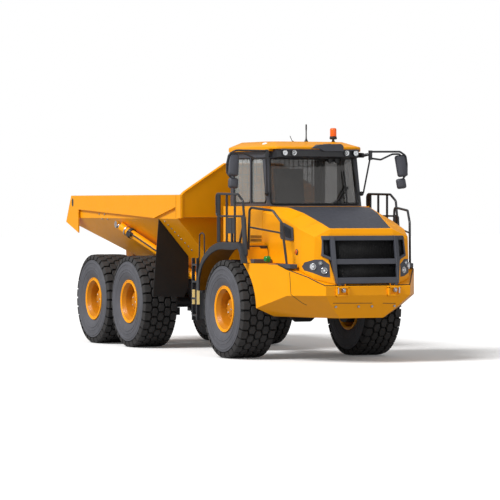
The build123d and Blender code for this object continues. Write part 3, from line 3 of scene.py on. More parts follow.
import json
from math import cos, pi, radians, sin, sqrt, tan

import bmesh
import bpy
from mathutils import Matrix, Quaternion, Vector
from mathutils.bvhtree import BVHTree

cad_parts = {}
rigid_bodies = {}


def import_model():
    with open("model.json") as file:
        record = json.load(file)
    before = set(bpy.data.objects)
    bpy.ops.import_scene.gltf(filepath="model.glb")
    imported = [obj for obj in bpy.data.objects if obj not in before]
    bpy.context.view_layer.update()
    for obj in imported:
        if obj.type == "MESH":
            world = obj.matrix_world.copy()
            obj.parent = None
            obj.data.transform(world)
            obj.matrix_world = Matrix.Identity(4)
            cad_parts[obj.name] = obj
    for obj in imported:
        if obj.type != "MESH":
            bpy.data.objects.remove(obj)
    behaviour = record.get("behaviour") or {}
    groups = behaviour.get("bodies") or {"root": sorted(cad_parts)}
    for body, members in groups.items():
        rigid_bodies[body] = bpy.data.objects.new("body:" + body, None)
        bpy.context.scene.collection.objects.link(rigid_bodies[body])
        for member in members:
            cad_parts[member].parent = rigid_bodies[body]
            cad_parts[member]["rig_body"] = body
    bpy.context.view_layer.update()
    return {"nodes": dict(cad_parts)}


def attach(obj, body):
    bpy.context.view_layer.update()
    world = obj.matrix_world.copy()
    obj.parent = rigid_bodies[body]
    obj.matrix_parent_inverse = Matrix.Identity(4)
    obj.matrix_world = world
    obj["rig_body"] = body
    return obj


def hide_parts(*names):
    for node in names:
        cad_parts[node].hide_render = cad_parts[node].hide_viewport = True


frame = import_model()
NODES = frame["nodes"]

# Main places, as in the part
FRONT = 2.255  # front axle
MIDDLE = FRONT - 3.8
REAR = MIDDLE - 1.56
AXLE_Z = 0.746
TRACK_HALF = 1.045
TYRE_R = 0.746
BELT_Z = 2.3
ROOF_Z = 3.282

# Materials
COAT_ROUGH = 0.08
GLASS_ROUGH = 0.04
RELIEF_HEIGHT = 0.001


def feed(tree, node, values):
    """Sets a node's inputs, each to a value or to what another node gives."""
    for name, value in values.items():
        if isinstance(value, bpy.types.NodeSocket):
            tree.links.new(value, node.inputs[name])
        else:
            node.inputs[name].default_value = value
    return node


def principled(name):
    """A new material, its node tree and its Principled shader."""
    mat = bpy.data.materials.new(name)
    mat.use_nodes = True
    return mat, mat.node_tree, mat.node_tree.nodes["Principled BSDF"]


def noise(tree, scale, detail=3.0, rough=0.5):
    """Noise over the object's own coordinates."""
    where = tree.nodes.new("ShaderNodeTexCoord").outputs["Object"]
    values = {"Vector": where, "Scale": scale, "Detail": detail, "Roughness": rough}
    return feed(tree, tree.nodes.new("ShaderNodeTexNoise"), values).outputs["Fac"]


def mottled(tree, colour, amount, fac):
    """A colour that goes from a darker to a lighter shade of itself."""
    node = feed(tree, tree.nodes.new("ShaderNodeValToRGB"), {"Fac": fac})
    for stop, place, shade in zip(node.color_ramp.elements, (0.3, 0.7), (1 - amount, 1 + amount)):
        stop.position = place
        stop.color = (*(min(1, c * shade) for c in colour), 1)
    return node.outputs["Color"]


def spread(tree, fac, low, high, start=0.3, end=0.7):
    """A value that goes from low to high as fac goes from start to end."""
    values = {"Value": fac, "From Min": start, "From Max": end, "To Min": low, "To Max": high}
    return feed(tree, tree.nodes.new("ShaderNodeMapRange"), values).outputs["Result"]


def finish_of(
    name, colour, rough, vary, rough_vary=0.06, scale=2.5, relief=None, detail=2, metallic=0.0,
    coat=0.0, sheen=0.0, specular=0.5,
):
    """A surface that varies a little; relief gives the strength and scale of its skin's noise."""
    mat, tree, shader = principled(name)
    fine = noise(tree, scale * 7)
    feed(tree, shader, {
        "Base Color": mottled(tree, colour, vary, noise(tree, scale, 4.0, 0.6)),
        "Roughness": spread(tree, fine, max(0.02, rough - rough_vary), rough + rough_vary),
        "Metallic": metallic,
        "Coat Weight": coat,
        "Coat Roughness": COAT_ROUGH,
        "Sheen Weight": sheen,
        "Specular IOR Level": specular,
    })
    if relief:
        strength, grain = relief
        values = {"Height": noise(tree, grain, detail), "Strength": strength, "Distance": RELIEF_HEIGHT}
        node = feed(tree, tree.nodes.new("ShaderNodeBump"), values)
        feed(tree, shader, {"Normal": node.outputs["Normal"]})
    return mat


def glass_of(name, colour, alpha):
    """Tinted sheet glass: partly see-through, with a mirror gloss."""
    mat, tree, shader = principled(name)
    tint = mottled(tree, colour, 0.1, noise(tree, 1.5))
    feed(tree, shader, {
        "Base Color": tint, "Roughness": GLASS_ROUGH, "Alpha": alpha, "Specular IOR Level": 0.6,
    })
    return mat


def plastic_of(name, colour, rough=0.22, glow=0.0):
    """Coloured plastic of a lamp or a fitting."""
    mat, tree, shader = principled(name)
    tint = mottled(tree, colour, 0.08, noise(tree, 25.0))
    feed(tree, shader, {
        "Base Color": tint, "Emission Color": tint, "Emission Strength": glow, "Roughness": rough,
    })
    return mat


paint = finish_of(
    "paint_yellow", (0.96, 0.373, 0.003), 0.38, 0.03, coat=0.05, specular=0.16, relief=(0.06, 22), detail=1
)
# Darker yellow: painted shade in the rims' deep dish and under the bin's front beam; also the beam's dark
# seam lines.
shade_and_seam_paint = finish_of("paint_rims_shade_and_seams", (0.56, 0.195, 0.006), 0.42, 0.05, coat=0.05, specular=0.2)
# Brown: painted shade under the mudguards and in the recess beside the bonnet.
painted_shade_brown = finish_of("paint_painted_shade", (0.34, 0.125, 0.005), 0.55, 0.1, specular=0.15)
guard_plastic = finish_of("plastic_guards", (0.03, 0.031, 0.036), 0.52, 0.1, relief=(0.25, 900))
charcoal = finish_of("plastic_charcoal", (0.06, 0.063, 0.078), 0.5, 0.08, relief=(0.25, 900))
chassis = finish_of("paint_chassis", (0.035, 0.036, 0.04), 0.48, 0.15, relief=(0.1, 300))
railing = finish_of("paint_rails", (0.03, 0.031, 0.036), 0.38, 0.1, relief=(0.08, 500))
iron = finish_of("iron_engine", (0.03, 0.03, 0.032), 0.62, 0.25, relief=(0.5, 160))
steel = finish_of("steel_bare", (0.56, 0.56, 0.58), 0.32, 0.1, metallic=1.0, relief=(0.08, 250))
chrome = finish_of("chrome_rod", (0.8, 0.8, 0.82), 0.1, 0.03, rough_vary=0.03, metallic=1.0)
zinc = finish_of("zinc_bolt", (0.42, 0.42, 0.44), 0.4, 0.15, metallic=1.0, relief=(0.15, 700))
# Sidewall rubber lighter and tread rubber darker: lit and shaded copies of one rubber.
lit_side_rubber = finish_of("rubber_sidewall_lit", (0.092, 0.093, 0.106), 0.72, 0.12, scale=5.0, relief=(0.25, 220))
shaded_tread_rubber = finish_of("rubber_tread_shaded", (0.032, 0.03, 0.03), 0.78, 0.25, scale=9.0, relief=(0.35, 180))
# Near black: painted shade in the tread's grooves.
groove_shade_rubber = finish_of("rubber_groove_shade", (0.006, 0.006, 0.006), 0.85, 0.25, relief=(0.35, 180))
guard_grey = finish_of("paint_grey", (0.46, 0.46, 0.46), 0.45, 0.1)
flap_rubber = finish_of("rubber_flap", (0.01, 0.009, 0.009), 0.55, 0.2, relief=(0.3, 6), detail=1)
black = finish_of("plastic_black", (0.012, 0.012, 0.013), 0.42, 0.2, relief=(0.15, 800))
cloth = finish_of("cloth_seat", (0.022, 0.022, 0.025), 0.85, 0.2, scale=30.0, sheen=0.3, relief=(0.6, 1200))
lamp_metal = finish_of("lamp_reflector", (0.86, 0.86, 0.88), 0.12, 0.04, rough_vary=0.04, metallic=1.0)
screen_glass = glass_of("glass_screen", (0.05, 0.046, 0.042), 0.58)
side_glass = glass_of("glass_side", (0.42, 0.44, 0.42), 0.36)
lens_glass = glass_of("glass_lens", (0.75, 0.78, 0.8), 0.3)
lamp_white = plastic_of("lamp_white", (0.86, 0.88, 0.9), 0.3, glow=0.25)
amber = plastic_of("plastic_amber", (0.9, 0.14, 0.01), glow=0.12)
marker = plastic_of("plastic_marker", (0.62, 0.1, 0.01), glow=0.05)
green = plastic_of("plastic_green", (0.005, 0.22, 0.035))
# The pale strips glow: a painted highlight that keeps them bright in shade; the pale colour is their own.
reflector = plastic_of("reflector_pale_painted_glow", (0.95, 0.7, 0.28), 0.25, glow=0.3)

# Mesh tools
UP = Vector((0, 0, 1))
CORNER_STEPS = 5
STRAIGHT = pi - 0.02  # a corner flatter than this isn't rounded
CORNER_SHARE = 0.48  # of a side, at most, that a corner takes
FLUTED_FROM = 0.03  # radius above which flutes are cut
BEVEL_ANGLE = radians(32.0)
FLAT_ANGLE = radians(0.8)
WELD = 2e-5


def at(x, y, z):
    """A point from its place ahead of the front axle."""
    return Vector((FRONT + x, y, z))


def on_side(hand, *points):
    """Points from their places ahead of the front axle, on the left (1) or the right (-1)."""
    return [at(x, hand * y, z) for x, y, z in points]


def facing(point, normal):
    """Frame at a point whose Y axis follows a normal, for turned forms."""
    turn = Vector(normal).to_track_quat("Y", "Z").to_matrix().to_4x4()
    return Matrix.Translation(Vector(point)) @ turn


def rounded(points, radius):
    """Corners of a path rounded with arcs."""
    points = [Vector(p) for p in points]
    out = [points[0]]
    for before, corner, after in zip(points, points[1:], points[2:]):
        a, b = before - corner, after - corner
        angle = a.angle(b)
        if angle > STRAIGHT or radius <= 0:
            out.append(corner)
            continue
        reach = min(radius / tan(angle / 2), a.length * CORNER_SHARE, b.length * CORNER_SHARE)
        a.normalize()
        b.normalize()
        middle = corner + (a + b).normalized() * (reach * tan(angle / 2) / sin(angle / 2))
        start, end = corner + a * reach - middle, corner + b * reach - middle
        turn = start.rotation_difference(end)
        for i in range(CORNER_STEPS + 1):
            out.append(middle + Quaternion().slerp(turn, i / CORNER_STEPS) @ start)
    return out + [points[-1]]


def curve(points):
    """A smooth line through points."""
    ends = [2 * points[0] - points[1]] + points + [2 * points[-1] - points[-2]]
    out = []
    for a, b, c, d in zip(ends, ends[1:], ends[2:], ends[3:]):
        for i in range(CORNER_STEPS):
            t = i / CORNER_STEPS
            square = (2 * a - 5 * b + 4 * c - d) * t**2
            out.append(0.5 * (2 * b + (c - a) * t + square + (3 * b - a - 3 * c + d) * t**3))
    return out + [points[-1]]


class Shape:
    """Faces gathered for one piece, each with its material."""

    def __init__(self):
        self.bm = bmesh.new()
        self.mats = []

    def add(self, verts, faces, mat, place=None):
        if mat not in self.mats:
            self.mats.append(mat)
        index = self.mats.index(mat)
        made = [self.bm.verts.new(place @ Vector(v) if place else Vector(v)) for v in verts]
        for f in faces:
            face = self.bm.faces.new([made[i] for i in f])
            face.material_index = index
            face.smooth = True
        return made

    def box(self, x, y, z, mat, place=None):
        verts = [(a, b, c) for a in x for b in y for c in z]
        faces = ((0, 1, 3, 2), (4, 6, 7, 5), (0, 4, 5, 1), (2, 3, 7, 6), (0, 2, 6, 4), (1, 5, 7, 3))
        return self.add(verts, faces, mat, place)

    def side_box(self, x, y, z, mat, hand=1):
        """A box from its places ahead of the front axle, on one side."""
        return self.box([FRONT + v for v in x], sorted(hand * v for v in y), z, mat)

    def loft(self, rings, mat, place=None, foot=True, gap=None):
        """A skin over rings of points, closed at the last and, with a foot, the first; gap stays open."""
        n, top = len(rings[0]), len(rings) - 1
        faces = [tuple(range(n))[::-1]] if foot else []
        faces.append(tuple(range(top * n, top * n + n)))
        for a in range(0, top * n, n):
            for i in range(n):
                j = (i + 1) % n
                if i != gap:
                    faces.append((a + i, a + j, a + n + j, a + n + i))
        return self.add([p for ring in rings for p in ring], faces, mat, place)

    def side_prism(self, outline, y, mat, hand=1):
        """An outline in x and z ahead of the front axle, between two places across."""
        return self.loft([[at(x, v, z) for x, z in outline] for v in sorted(hand * v for v in y)], mat)

    def tube(self, points, radius, mat, bend=0.0, sides=8):
        """A round bar through points; a pair of radii gives one for each end."""
        path = rounded(points, bend)
        first, last = radius if isinstance(radius, tuple) else (radius, radius)
        along = [(b - a).normalized() for a, b in zip(path, path[1:])]
        along = [along[0]] + [(a + b).normalized() for a, b in zip(along, along[1:])] + [along[-1]]
        up = along[0].orthogonal().normalized()
        turns = [2 * pi * k / sides for k in range(sides)]
        rings = []
        for i, (p, d) in enumerate(zip(path, along)):
            if i:
                up = along[i - 1].rotation_difference(d) @ up
            across = d.cross(up)
            r = first + (last - first) * i / (len(path) - 1)
            rings.append([p + (up * cos(a) + across * sin(a)) * r for a in turns])
        self.loft(rings, mat)

    def bar(self, points, radius, mat, bend=0.0, sides=8, hand=1):
        """A tube from places ahead of the front axle, on one side."""
        self.tube(on_side(hand, *points), radius, mat, bend, sides)

    def turned(self, profile, mat, place=None, sides=28, closed=False, flute=0.0):
        """A profile in (radius, y) turned about the Y axis, with flutes cut in where it is wide."""
        n = len(profile)
        verts = []
        for k in range(sides):
            a = 2 * pi * k / sides
            for r, y in profile:
                r -= flute if k % 2 and r > FLUTED_FROM else 0.0
                verts.append((r * sin(a), y, r * cos(a)))
        faces = []
        for k in range(sides):
            here, there = k * n, (k + 1) % sides * n
            for i in range(n if closed else n - 1):
                j = (i + 1) % n
                faces.append((here + i, here + j, there + j, there + i))
        return self.add(verts, faces, mat, place)

    def bolt(self, point, normal, radius, mat, height, sides=6):
        """A bolt head that stands on a surface."""
        turn = Vector(normal).to_track_quat("Z", "Y").to_matrix().to_4x4()
        turns = [2 * pi * k / sides for k in range(sides)]
        levels = ((radius, -height * 0.3), (radius, height * 0.75), (radius * 0.78, height))
        rings = [[(r * cos(a), r * sin(a), z) for a in turns] for r, z in levels]
        self.loft(rings, mat, Matrix.Translation(Vector(point)) @ turn, foot=False)

    def mirror(self):
        """Adds the other side's copy across Y."""
        geom = self.bm.verts[:] + self.bm.edges[:] + self.bm.faces[:]
        copy = bmesh.ops.duplicate(self.bm, geom=geom)["geom"]
        for item in copy:
            if isinstance(item, bmesh.types.BMVert):
                item.co.y = -item.co.y
        faces = [item for item in copy if isinstance(item, bmesh.types.BMFace)]
        bmesh.ops.reverse_faces(self.bm, faces=faces)

    def cut_level(self, z):
        """Splits the faces at a height."""
        geom = self.bm.verts[:] + self.bm.edges[:] + self.bm.faces[:]
        bmesh.ops.bisect_plane(self.bm, geom=geom, plane_co=(0, 0, z), plane_no=UP)

    def repaint(self, mat, chosen):
        """Gives a second material to the faces whose middle is chosen."""
        self.mats.append(mat)
        for face in self.bm.faces:
            if chosen(face.calc_center_median()):
                face.material_index = 1

    def mesh(self, name):
        bmesh.ops.recalc_face_normals(self.bm, faces=self.bm.faces[:])
        data = bpy.data.meshes.new(name)
        self.bm.to_mesh(data)
        self.bm.free()
        for mat in self.mats:
            data.materials.append(mat)
        return data

    def show(self, name, body, slot, nodes=(), **edges):
        """The gathered faces as a finished piece."""
        place_piece(name, self.mesh(name), body, slot, nodes, **edges)


def new_object(name, data, towards=None):
    """A new object in the scene; a camera or lamp looks towards a direction."""
    made = bpy.data.objects.new(name, data)
    bpy.context.scene.collection.objects.link(made)
    if towards:
        made.rotation_mode = "QUATERNION"
        made.rotation_quaternion = Vector(towards).to_track_quat("-Z", "Y")
    return made


def place_piece(name, data, body, slot, nodes=(), bevel=0.0, segments=2, sharp=40.0):
    """A mesh as a piece that rides on a body and may stand for CAD nodes."""
    piece = new_object(name, data)
    if sharp and not bevel:
        data.set_sharp_from_angle(angle=radians(sharp))
    if bevel:
        edge = piece.modifiers.new("edges", "BEVEL")
        edge.width = bevel
        edge.segments = segments
        edge.angle_limit = BEVEL_ANGLE
        flat = piece.modifiers.new("flat_faces", "WEIGHTED_NORMAL")
        flat.weight = 100
        flat.keep_sharp = True
    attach(piece, body)
    if nodes:
        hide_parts(*nodes)


def body_of(node):
    return NODES[node]["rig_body"]


def skin_shape(node, mat):
    """The outer mesh of a CAD node, with flat faces joined, to be dressed."""
    shape = Shape()
    source = NODES[node].data
    shape.add([v.co for v in source.vertices], [tuple(p.vertices) for p in source.polygons], mat)
    bm = shape.bm
    bmesh.ops.remove_doubles(bm, verts=bm.verts[:], dist=WELD)
    bmesh.ops.dissolve_limit(bm, angle_limit=FLAT_ANGLE, verts=bm.verts[:], edges=bm.edges[:])
    return shape


TREES = {}
SIGHT = 1.5  # how far before the place a line of sight starts


def hit(node, origin, direction):
    """Where a line meets a CAD node's surface, and the surface's normal there."""
    if node not in TREES:
        data = NODES[node].data
        polygons = [p.vertices for p in data.polygons]
        TREES[node] = BVHTree.FromPolygons([v.co for v in data.vertices], polygons)
    return TREES[node].ray_cast(Vector(origin), Vector(direction))[:2]


def seen(node, spot, look):
    """What a line of sight meets near a place ahead of the front axle."""
    return hit(node, at(*spot) - look * SIGHT, look)


# Camera and light
YAW = radians(24.671)
PITCH = radians(-0.887)
CAMERA_PLACE = (42.247, -19.253, 2.317)
LENS = 208.83
LOOK = Vector((-cos(YAW), sin(YAW), 0.0))  # level line of sight
WORLD_LIGHT = 0.38
GLOSSY_LIGHT = 0.36
FLOOR_HALF = 150
FLOOR_SEEN = 0.96
FLOOR_BOUNCE = 0.45
FLOOR_GLOW = 0.06


def camera_view():
    towards = (-cos(YAW) * cos(PITCH), sin(YAW) * cos(PITCH), sin(PITCH))
    camera = new_object("camera", bpy.data.cameras.new("camera"), towards)
    camera.location = CAMERA_PLACE
    camera.data.sensor_width = 36.0
    camera.data.lens = LENS
    camera.data.clip_end = 500.0
    bpy.context.scene.camera = camera
    bpy.context.scene.view_settings.view_transform = "Standard"


def calc(tree, operation, a, b):
    """What a math node makes of two values."""
    node = tree.nodes.new("ShaderNodeMath")
    node.operation = operation
    return feed(tree, node, {0: a, 1: b}).outputs[0]


def world_light():
    """Plain light on the truck; white where the camera or glass sees past it."""
    world = bpy.data.worlds.new("studio")
    bpy.context.scene.world = world
    world.use_nodes = True
    tree = world.node_tree
    ray = tree.nodes.new("ShaderNodeLightPath").outputs
    plain = calc(tree, "MAXIMUM", ray["Is Camera Ray"], ray["Is Transmission Ray"])
    glossy = calc(tree, "MULTIPLY", ray["Is Glossy Ray"], GLOSSY_LIGHT)
    level = calc(tree, "MAXIMUM", calc(tree, "MAXIMUM", plain, glossy), WORLD_LIGHT)
    feed(tree, tree.nodes["Background"], {"Color": (1, 1, 1, 1), "Strength": level})


def sun(name, towards, strength, spread_angle):
    lamp = new_object(name, bpy.data.lights.new(name, "SUN"), towards).data
    lamp.energy = strength
    lamp.angle = radians(spread_angle)


def floor():
    """A floor that looks white, keeps the shadow and throws little light back."""
    mat, tree, shader = principled("floor")
    ray = tree.nodes.new("ShaderNodeLightPath").outputs["Is Camera Ray"]
    feed(tree, shader, {
        "Roughness": 0.9,
        "Specular IOR Level": 0.0,
        "Base Color": spread(tree, ray, FLOOR_BOUNCE, FLOOR_SEEN, 0.0, 1.0),
        "Emission Color": (1, 1, 1, 1),
        "Emission Strength": spread(tree, ray, 0.0, FLOOR_GLOW, 0.0, 1.0),
    })
    shape = Shape()
    corners = [(x * FLOOR_HALF, y * FLOOR_HALF, 0) for x, y in ((-1, -1), (1, -1), (1, 1), (-1, 1))]
    shape.add(corners, [(0, 1, 2, 3)], mat)
    new_object("floor", shape.mesh("floor"))


camera_view()
world_light()
sun("key", (-0.12, 0.7, -0.72), 3.15, 24)
sun("fill", (-1.0, -0.1, -0.25), 0.5, 50)
floor()

# Tyres: angles run round the wheel, y across it
LUGS = 30
LUG_STEP = 2 * pi / LUGS
GROOVE_HALF = 0.02
BLOCK_HALF = LUG_STEP / 2 - GROOVE_HALF
ROW_PITCH = 0.11
BLOCK_LONG = 0.053  # half width, at a block's middle
BLOCK_SHORT = 0.034  # and at its ends
BLOCK_SIZE = 0.055  # the chamfer's inset is a share of it
TREAD_BASE = 0.702
BLOCK_FOOT = TREAD_BASE - 0.006
BLOCK_EDGE = TYRE_R - 0.007
SHOULDER_Y = 0.262
SHOULDER_LONG = 0.052
SHOULDER_SIZE = 0.06
CROWN_DROP = 0.006
CROWN_FROM = 0.2
CROWN_RUN = 0.07
WALL_TOP = 0.66  # radius where the sidewall's rubber ends and the grooves' painted shade begins
WALL = (
    (0.32, 0.252), (0.352, 0.254), (0.362, 0.262), (0.372, 0.263), (0.39, 0.273), (0.43, 0.289),
    (0.47, 0.297), (0.474, 0.3025), (0.484, 0.3025), (0.488, 0.298), (0.52, 0.301), (0.524, 0.3045),
    (0.532, 0.3045), (0.536, 0.301), (0.592, 0.299), (0.598, 0.3045), (0.618, 0.304), (0.624, 0.2985),
    (0.636, 0.297), (0.64, 0.2985), (0.646, 0.2975), (0.65, 0.292), (0.672, 0.28), (0.69, 0.266),
    (0.7, 0.256), (TREAD_BASE, 0.245),
)


def wheel_point(radius, angle, y):
    return (radius * sin(angle), y, radius * cos(angle))


def crown(y):
    """Radius of the tread's surface at a place across it."""
    return TYRE_R - CROWN_DROP * max(0.0, abs(y) - CROWN_FROM) / CROWN_RUN


def tread_block(shape, y, phase):
    """A six-sided block with its middle at y."""
    outline = (
        (0, y + BLOCK_LONG), (BLOCK_HALF, y + BLOCK_SHORT), (BLOCK_HALF, y - BLOCK_SHORT),
        (0, y - BLOCK_LONG), (-BLOCK_HALF, y - BLOCK_SHORT), (-BLOCK_HALF, y + BLOCK_SHORT),
    )
    rings = []
    for radius, inset in ((BLOCK_FOOT, -0.003), (BLOCK_EDGE, 0.0), (None, 0.005)):
        reach = 1 - inset / BLOCK_SIZE
        places = [(u * reach, y + (v - y) * reach) for u, v in outline]
        rings.append([wheel_point(radius or crown(v), phase + u, v) for u, v in places])
    shape.loft(rings, shaded_tread_rubber, foot=False)


def shoulder_block(shape, hand, phase):
    """An outer block that runs on down the sidewall."""
    middle, edge = hand * 2 * ROW_PITCH, hand * SHOULDER_Y
    outline = (
        (BLOCK_HALF, middle - hand * BLOCK_SHORT), (0, middle - hand * SHOULDER_LONG),
        (-BLOCK_HALF, middle - hand * BLOCK_SHORT), (-BLOCK_HALF, edge), (BLOCK_HALF, edge),
    )
    rings = []
    for radius, inset in ((BLOCK_FOOT, 0.0), (BLOCK_EDGE, 0.0), (None, 0.004)):
        reach, shift = 1 - inset / SHOULDER_SIZE, hand * inset
        places = [(u * reach, y - shift if y == edge else y + shift) for u, y in outline]
        rings.append([wheel_point(radius or crown(v), phase + u, v) for u, v in places])
    made = shape.loft(rings, shaded_tread_rubber, foot=False, gap=3)

    def down_wall(places):
        return [
            wheel_point(r, phase + way * (BLOCK_HALF - narrow), hand * y)
            for r, y, narrow in places
            for way in (-1, 1)
        ]

    outer = down_wall(((0.738, 0.2765, 0.0), (0.712, 0.2885, 0.004), (0.668, 0.2985, 0.01)))
    inner = down_wall(((0.705, 0.262, 0.0), (0.69, 0.274, 0.004), (0.664, 0.29, 0.01)))
    top, foot = [made[13].co[:], made[14].co[:]], [made[3].co[:], made[4].co[:]]
    faces = [(0, 1, 3, 2), (2, 3, 5, 4), (4, 5, 7, 6), (6, 7, 15, 14)]
    faces += [(0, 2, 10, 8), (2, 4, 12, 10), (4, 6, 14, 12)]
    faces += [(1, 9, 11, 3), (3, 11, 13, 5), (5, 13, 15, 7)]
    shape.add(top + outer + foot + inner, faces, shaded_tread_rubber)


def tyre_mesh():
    shape = Shape()
    profile = list(WALL) + [(TREAD_BASE, y) for y in (0.15, 0.05, -0.05, -0.15)]
    profile += [(r, -y) for r, y in reversed(WALL)]
    shape.turned(profile, lit_side_rubber, sides=96)
    # Beyond the sidewall, faces get painted shade for the grooves between the blocks.
    shape.repaint(groove_shade_rubber, lambda middle: sqrt(middle.x**2 + middle.z**2) > WALL_TOP)
    for k in range(LUGS):
        phase = k * LUG_STEP
        for row in (-1, 0, 1):
            tread_block(shape, row * ROW_PITCH, phase + (LUG_STEP / 2 if row else 0))
        for hand in (1, -1):
            shoulder_block(shape, hand, phase)
    return shape.mesh("tyre")


# Rims: the barrel seen from inside, then the flange, the deep dish and the hub
RIM_BACK = (
    (0.316, -0.252), (0.35, -0.253), (0.352, -0.276), (0.345, -0.2775), (0.318, -0.276),
    (0.3, -0.262), (0.3, -0.06), (0.168, -0.06), (0.168, -0.08), (0.096, -0.08),
    (0.0955, 0.04), (0.001, 0.04),
)
RIM_FLANGE = (
    (0.316, -0.252), (0.316, 0.252), (0.351, 0.253), (0.3525, 0.262), (0.3525, 0.27),
    (0.348, 0.2762), (0.338, 0.2762), (0.333, 0.271), (0.329, 0.268), (0.321, 0.268), (0.316, 0.272),
    (0.309, 0.272), (0.304, 0.268),
)
RIM_DISH = (
    (0.304, 0.268), (0.262, 0.22), (0.257, 0.213), (0.254, 0.2), (0.23, 0.05), (0.225, 0.03),
    (0.218, 0.022), (0.208, 0.02), (0.178, 0.02), (0.17, 0.024), (0.167, 0.034), (0.164, 0.128),
    (0.16, 0.137), (0.152, 0.143), (0.148, 0.151), (0.116, 0.153), (0.111, 0.158), (0.107, 0.169),
    (0.1, 0.174), (0.045, 0.179), (0.001, 0.18),
)


def rim_mesh():
    shape = Shape()
    shape.turned(RIM_BACK, paint, sides=64)
    shape.turned(RIM_FLANGE, paint, sides=72)
    # The deep dish is a darker yellow: painted shade in its recess.
    shape.turned(RIM_DISH, shade_and_seam_paint, sides=72)
    for count, first, radius, y, size, mat, height, sides in (
        (16, pi / 16, 0.193, 0.02, 0.016, zinc, 0.026, 6),
        (16, pi / 16, 0.193, 0.02, 0.008, zinc, 0.04, 8),
        (12, 0.0, 0.132, 0.152, 0.009, paint, 0.009, 6),
        (3, 0.4, 0.07, 0.176, 0.012, zinc, 0.012, 6),
    ):
        for k in range(count):
            point = wheel_point(radius, 2 * pi * k / count + first, y)
            shape.bolt(point, (0, 1, 0), size, mat, height, sides)
    shape.tube([(0.0, 0.19, 0.264), (0.0, 0.236, 0.262)], 0.005, black)
    return shape.mesh("rim")


def wheels():
    kinds = (("tyre", tyre_mesh(), "tyre", 30.0), ("rim", rim_mesh(), "yellow", 34.0))
    for axle, x in (("front", FRONT), ("middle", MIDDLE), ("rear", REAR)):
        for side, hand in (("_left", 1), ("_right", -1)):
            place = Matrix.Translation((x, hand * TRACK_HALF, AXLE_Z))
            if hand < 0:
                place = place @ Matrix.Rotation(pi, 4, "Z")
            for kind, data, slot, sharp in kinds:
                own = data.copy()
                own.transform(place)
                node = kind + "_" + axle + side
                place_piece(kind + "_look_" + axle + side, own, body_of(node), slot, (node,), sharp=sharp)


wheels()

# Grille on the nose's leaning face
NOSE_X = 2.037
NOSE_Z = 1.872
NOSE_LEAN = 0.1785
RAISE = 0.048  # how far the grille's middle stands ahead of its edges
RAISED_HALF = 0.52
EDGE_HALF = 0.69
MESH_WINDOWS = ((1.262, 1.452), (1.532, 1.798))
WIRE_HALF = 0.0022


def nose(y, z, lift=0.0):
    """A point on the grille's face."""
    fall = max(0.0, min(1.0, (abs(y) - RAISED_HALF) / (EDGE_HALF - RAISED_HALF)))
    return at(NOSE_X + NOSE_LEAN * (NOSE_Z - z) + RAISE * (1 - fall) + lift, y, z)


def nose_bar(shape, outline, front, back, mat, hand=1):
    """A bar of the grille from its outline in (y, z)."""
    shape.loft([[nose(hand * y, z, lift) for y, z in outline] for lift in (back, front)], mat)


def nose_box(shape, y, z, front, back, mat, hand=1):
    outline = ((y[0], z[0]), (y[1], z[0]), (y[1], z[1]), (y[0], z[1]))
    nose_bar(shape, outline, front, back, mat, hand)


def grille():
    shape = Shape()
    for half, z, front, back in (
        (0.555, (1.798, 1.868), 0.006, -0.055),
        (0.495, (1.452, 1.532), 0.004, -0.05),
        (0.495, (1.172, 1.262), 0.008, -0.05),
    ):
        nose_box(shape, (-half, half), z, front, back, charcoal)
    for hand in (1, -1):
        for outline, front, back in (
            (((0.488, 1.172), (0.506, 1.168), (0.556, 1.5), (0.556, 1.868), (0.488, 1.868)), 0.014, -0.055),
            (((0.556, 1.806), (0.652, 1.806), (0.664, 1.868), (0.556, 1.868)), 0.004, -0.05),
            (((0.662, 1.57), (0.687, 1.57), (0.672, 1.868), (0.64, 1.868), (0.652, 1.806)), 0.004, -0.05),
            (((0.556, 1.5), (0.59, 1.526), (0.687, 1.572), (0.66, 1.6), (0.556, 1.556)), 0.004, -0.05),
            (((0.44, 1.142), (0.486, 1.142), (0.5, 1.18), (0.43, 1.18)), 0.004, -0.045),
        ):
            nose_bar(shape, outline, front, back, charcoal, hand)
    shape.show("grille_look", "bonnet", "charcoal", ("grille",), bevel=0.01, segments=3)


def grille_mesh():
    """Wires across the grille's windows, with a dark sheet behind."""
    shape = Shape()
    for low, high in MESH_WINDOWS:
        nose_box(shape, (-0.5, 0.5), (low - 0.02, high + 0.02), -0.064, -0.072, black)
        rows = int((high - low) / 0.0135)
        for i in range(1, rows):
            z = low + (high - low) * i / rows
            nose_box(shape, (-0.49, 0.49), (z - WIRE_HALF, z + WIRE_HALF), -0.034, -0.04, black)
        for i in range(1, 36):
            y = -0.49 + 0.98 * i / 36
            wire = (y - WIRE_HALF, y + WIRE_HALF)
            nose_box(shape, wire, (low - 0.01, high + 0.01), -0.038, -0.044, black)
    for hand in (1, -1):
        sheet = ((0.55, 1.53), (0.67, 1.58), (0.66, 1.83), (0.55, 1.83))
        nose_bar(shape, sheet, -0.04, -0.046, black, hand)
        for i in range(1, 18):
            z = 1.56 + 0.25 * i / 18
            nose_box(shape, (0.555, 0.668), (z - 0.002, z + 0.002), -0.026, -0.032, black, hand)
    shape.show("grille_mesh", "bonnet", "charcoal", sharp=None)


def grille_knuckles():
    """Knuckles of the bonnet's hinge."""
    shape = Shape()
    y = (0.38, 0.43)
    for hand in (1, -1):
        low, high = sorted(hand * v for v in y)
        shape.turned([(0.0063, low), (0.014, low), (0.014, high), (0.0063, high)], charcoal,
                     Matrix.Translation(at(2.19, 0, 1.162)), sides=24, closed=True)
        arm = ((2.14, 1.195), (2.14, 1.176), (2.178, 1.156), (2.184, 1.176))
        shape.side_prism(arm, y, charcoal, hand)
    shape.show("grille_knuckles", "bonnet", "charcoal", bevel=0.002)


grille()
grille_mesh()
grille_knuckles()

# Headlamps, and the vents and markers on the bonnet's sides
LAMP_DEPTH = 0.03
HEADLAMPS = ((2.013, 0.794, 1.421, 0.046), (2.058, 0.702, 1.47, 0.024), (2.094, 0.654, 1.362, 0.042))
BONNET_SIDE = 0.872
FIN_PITCH = 0.036


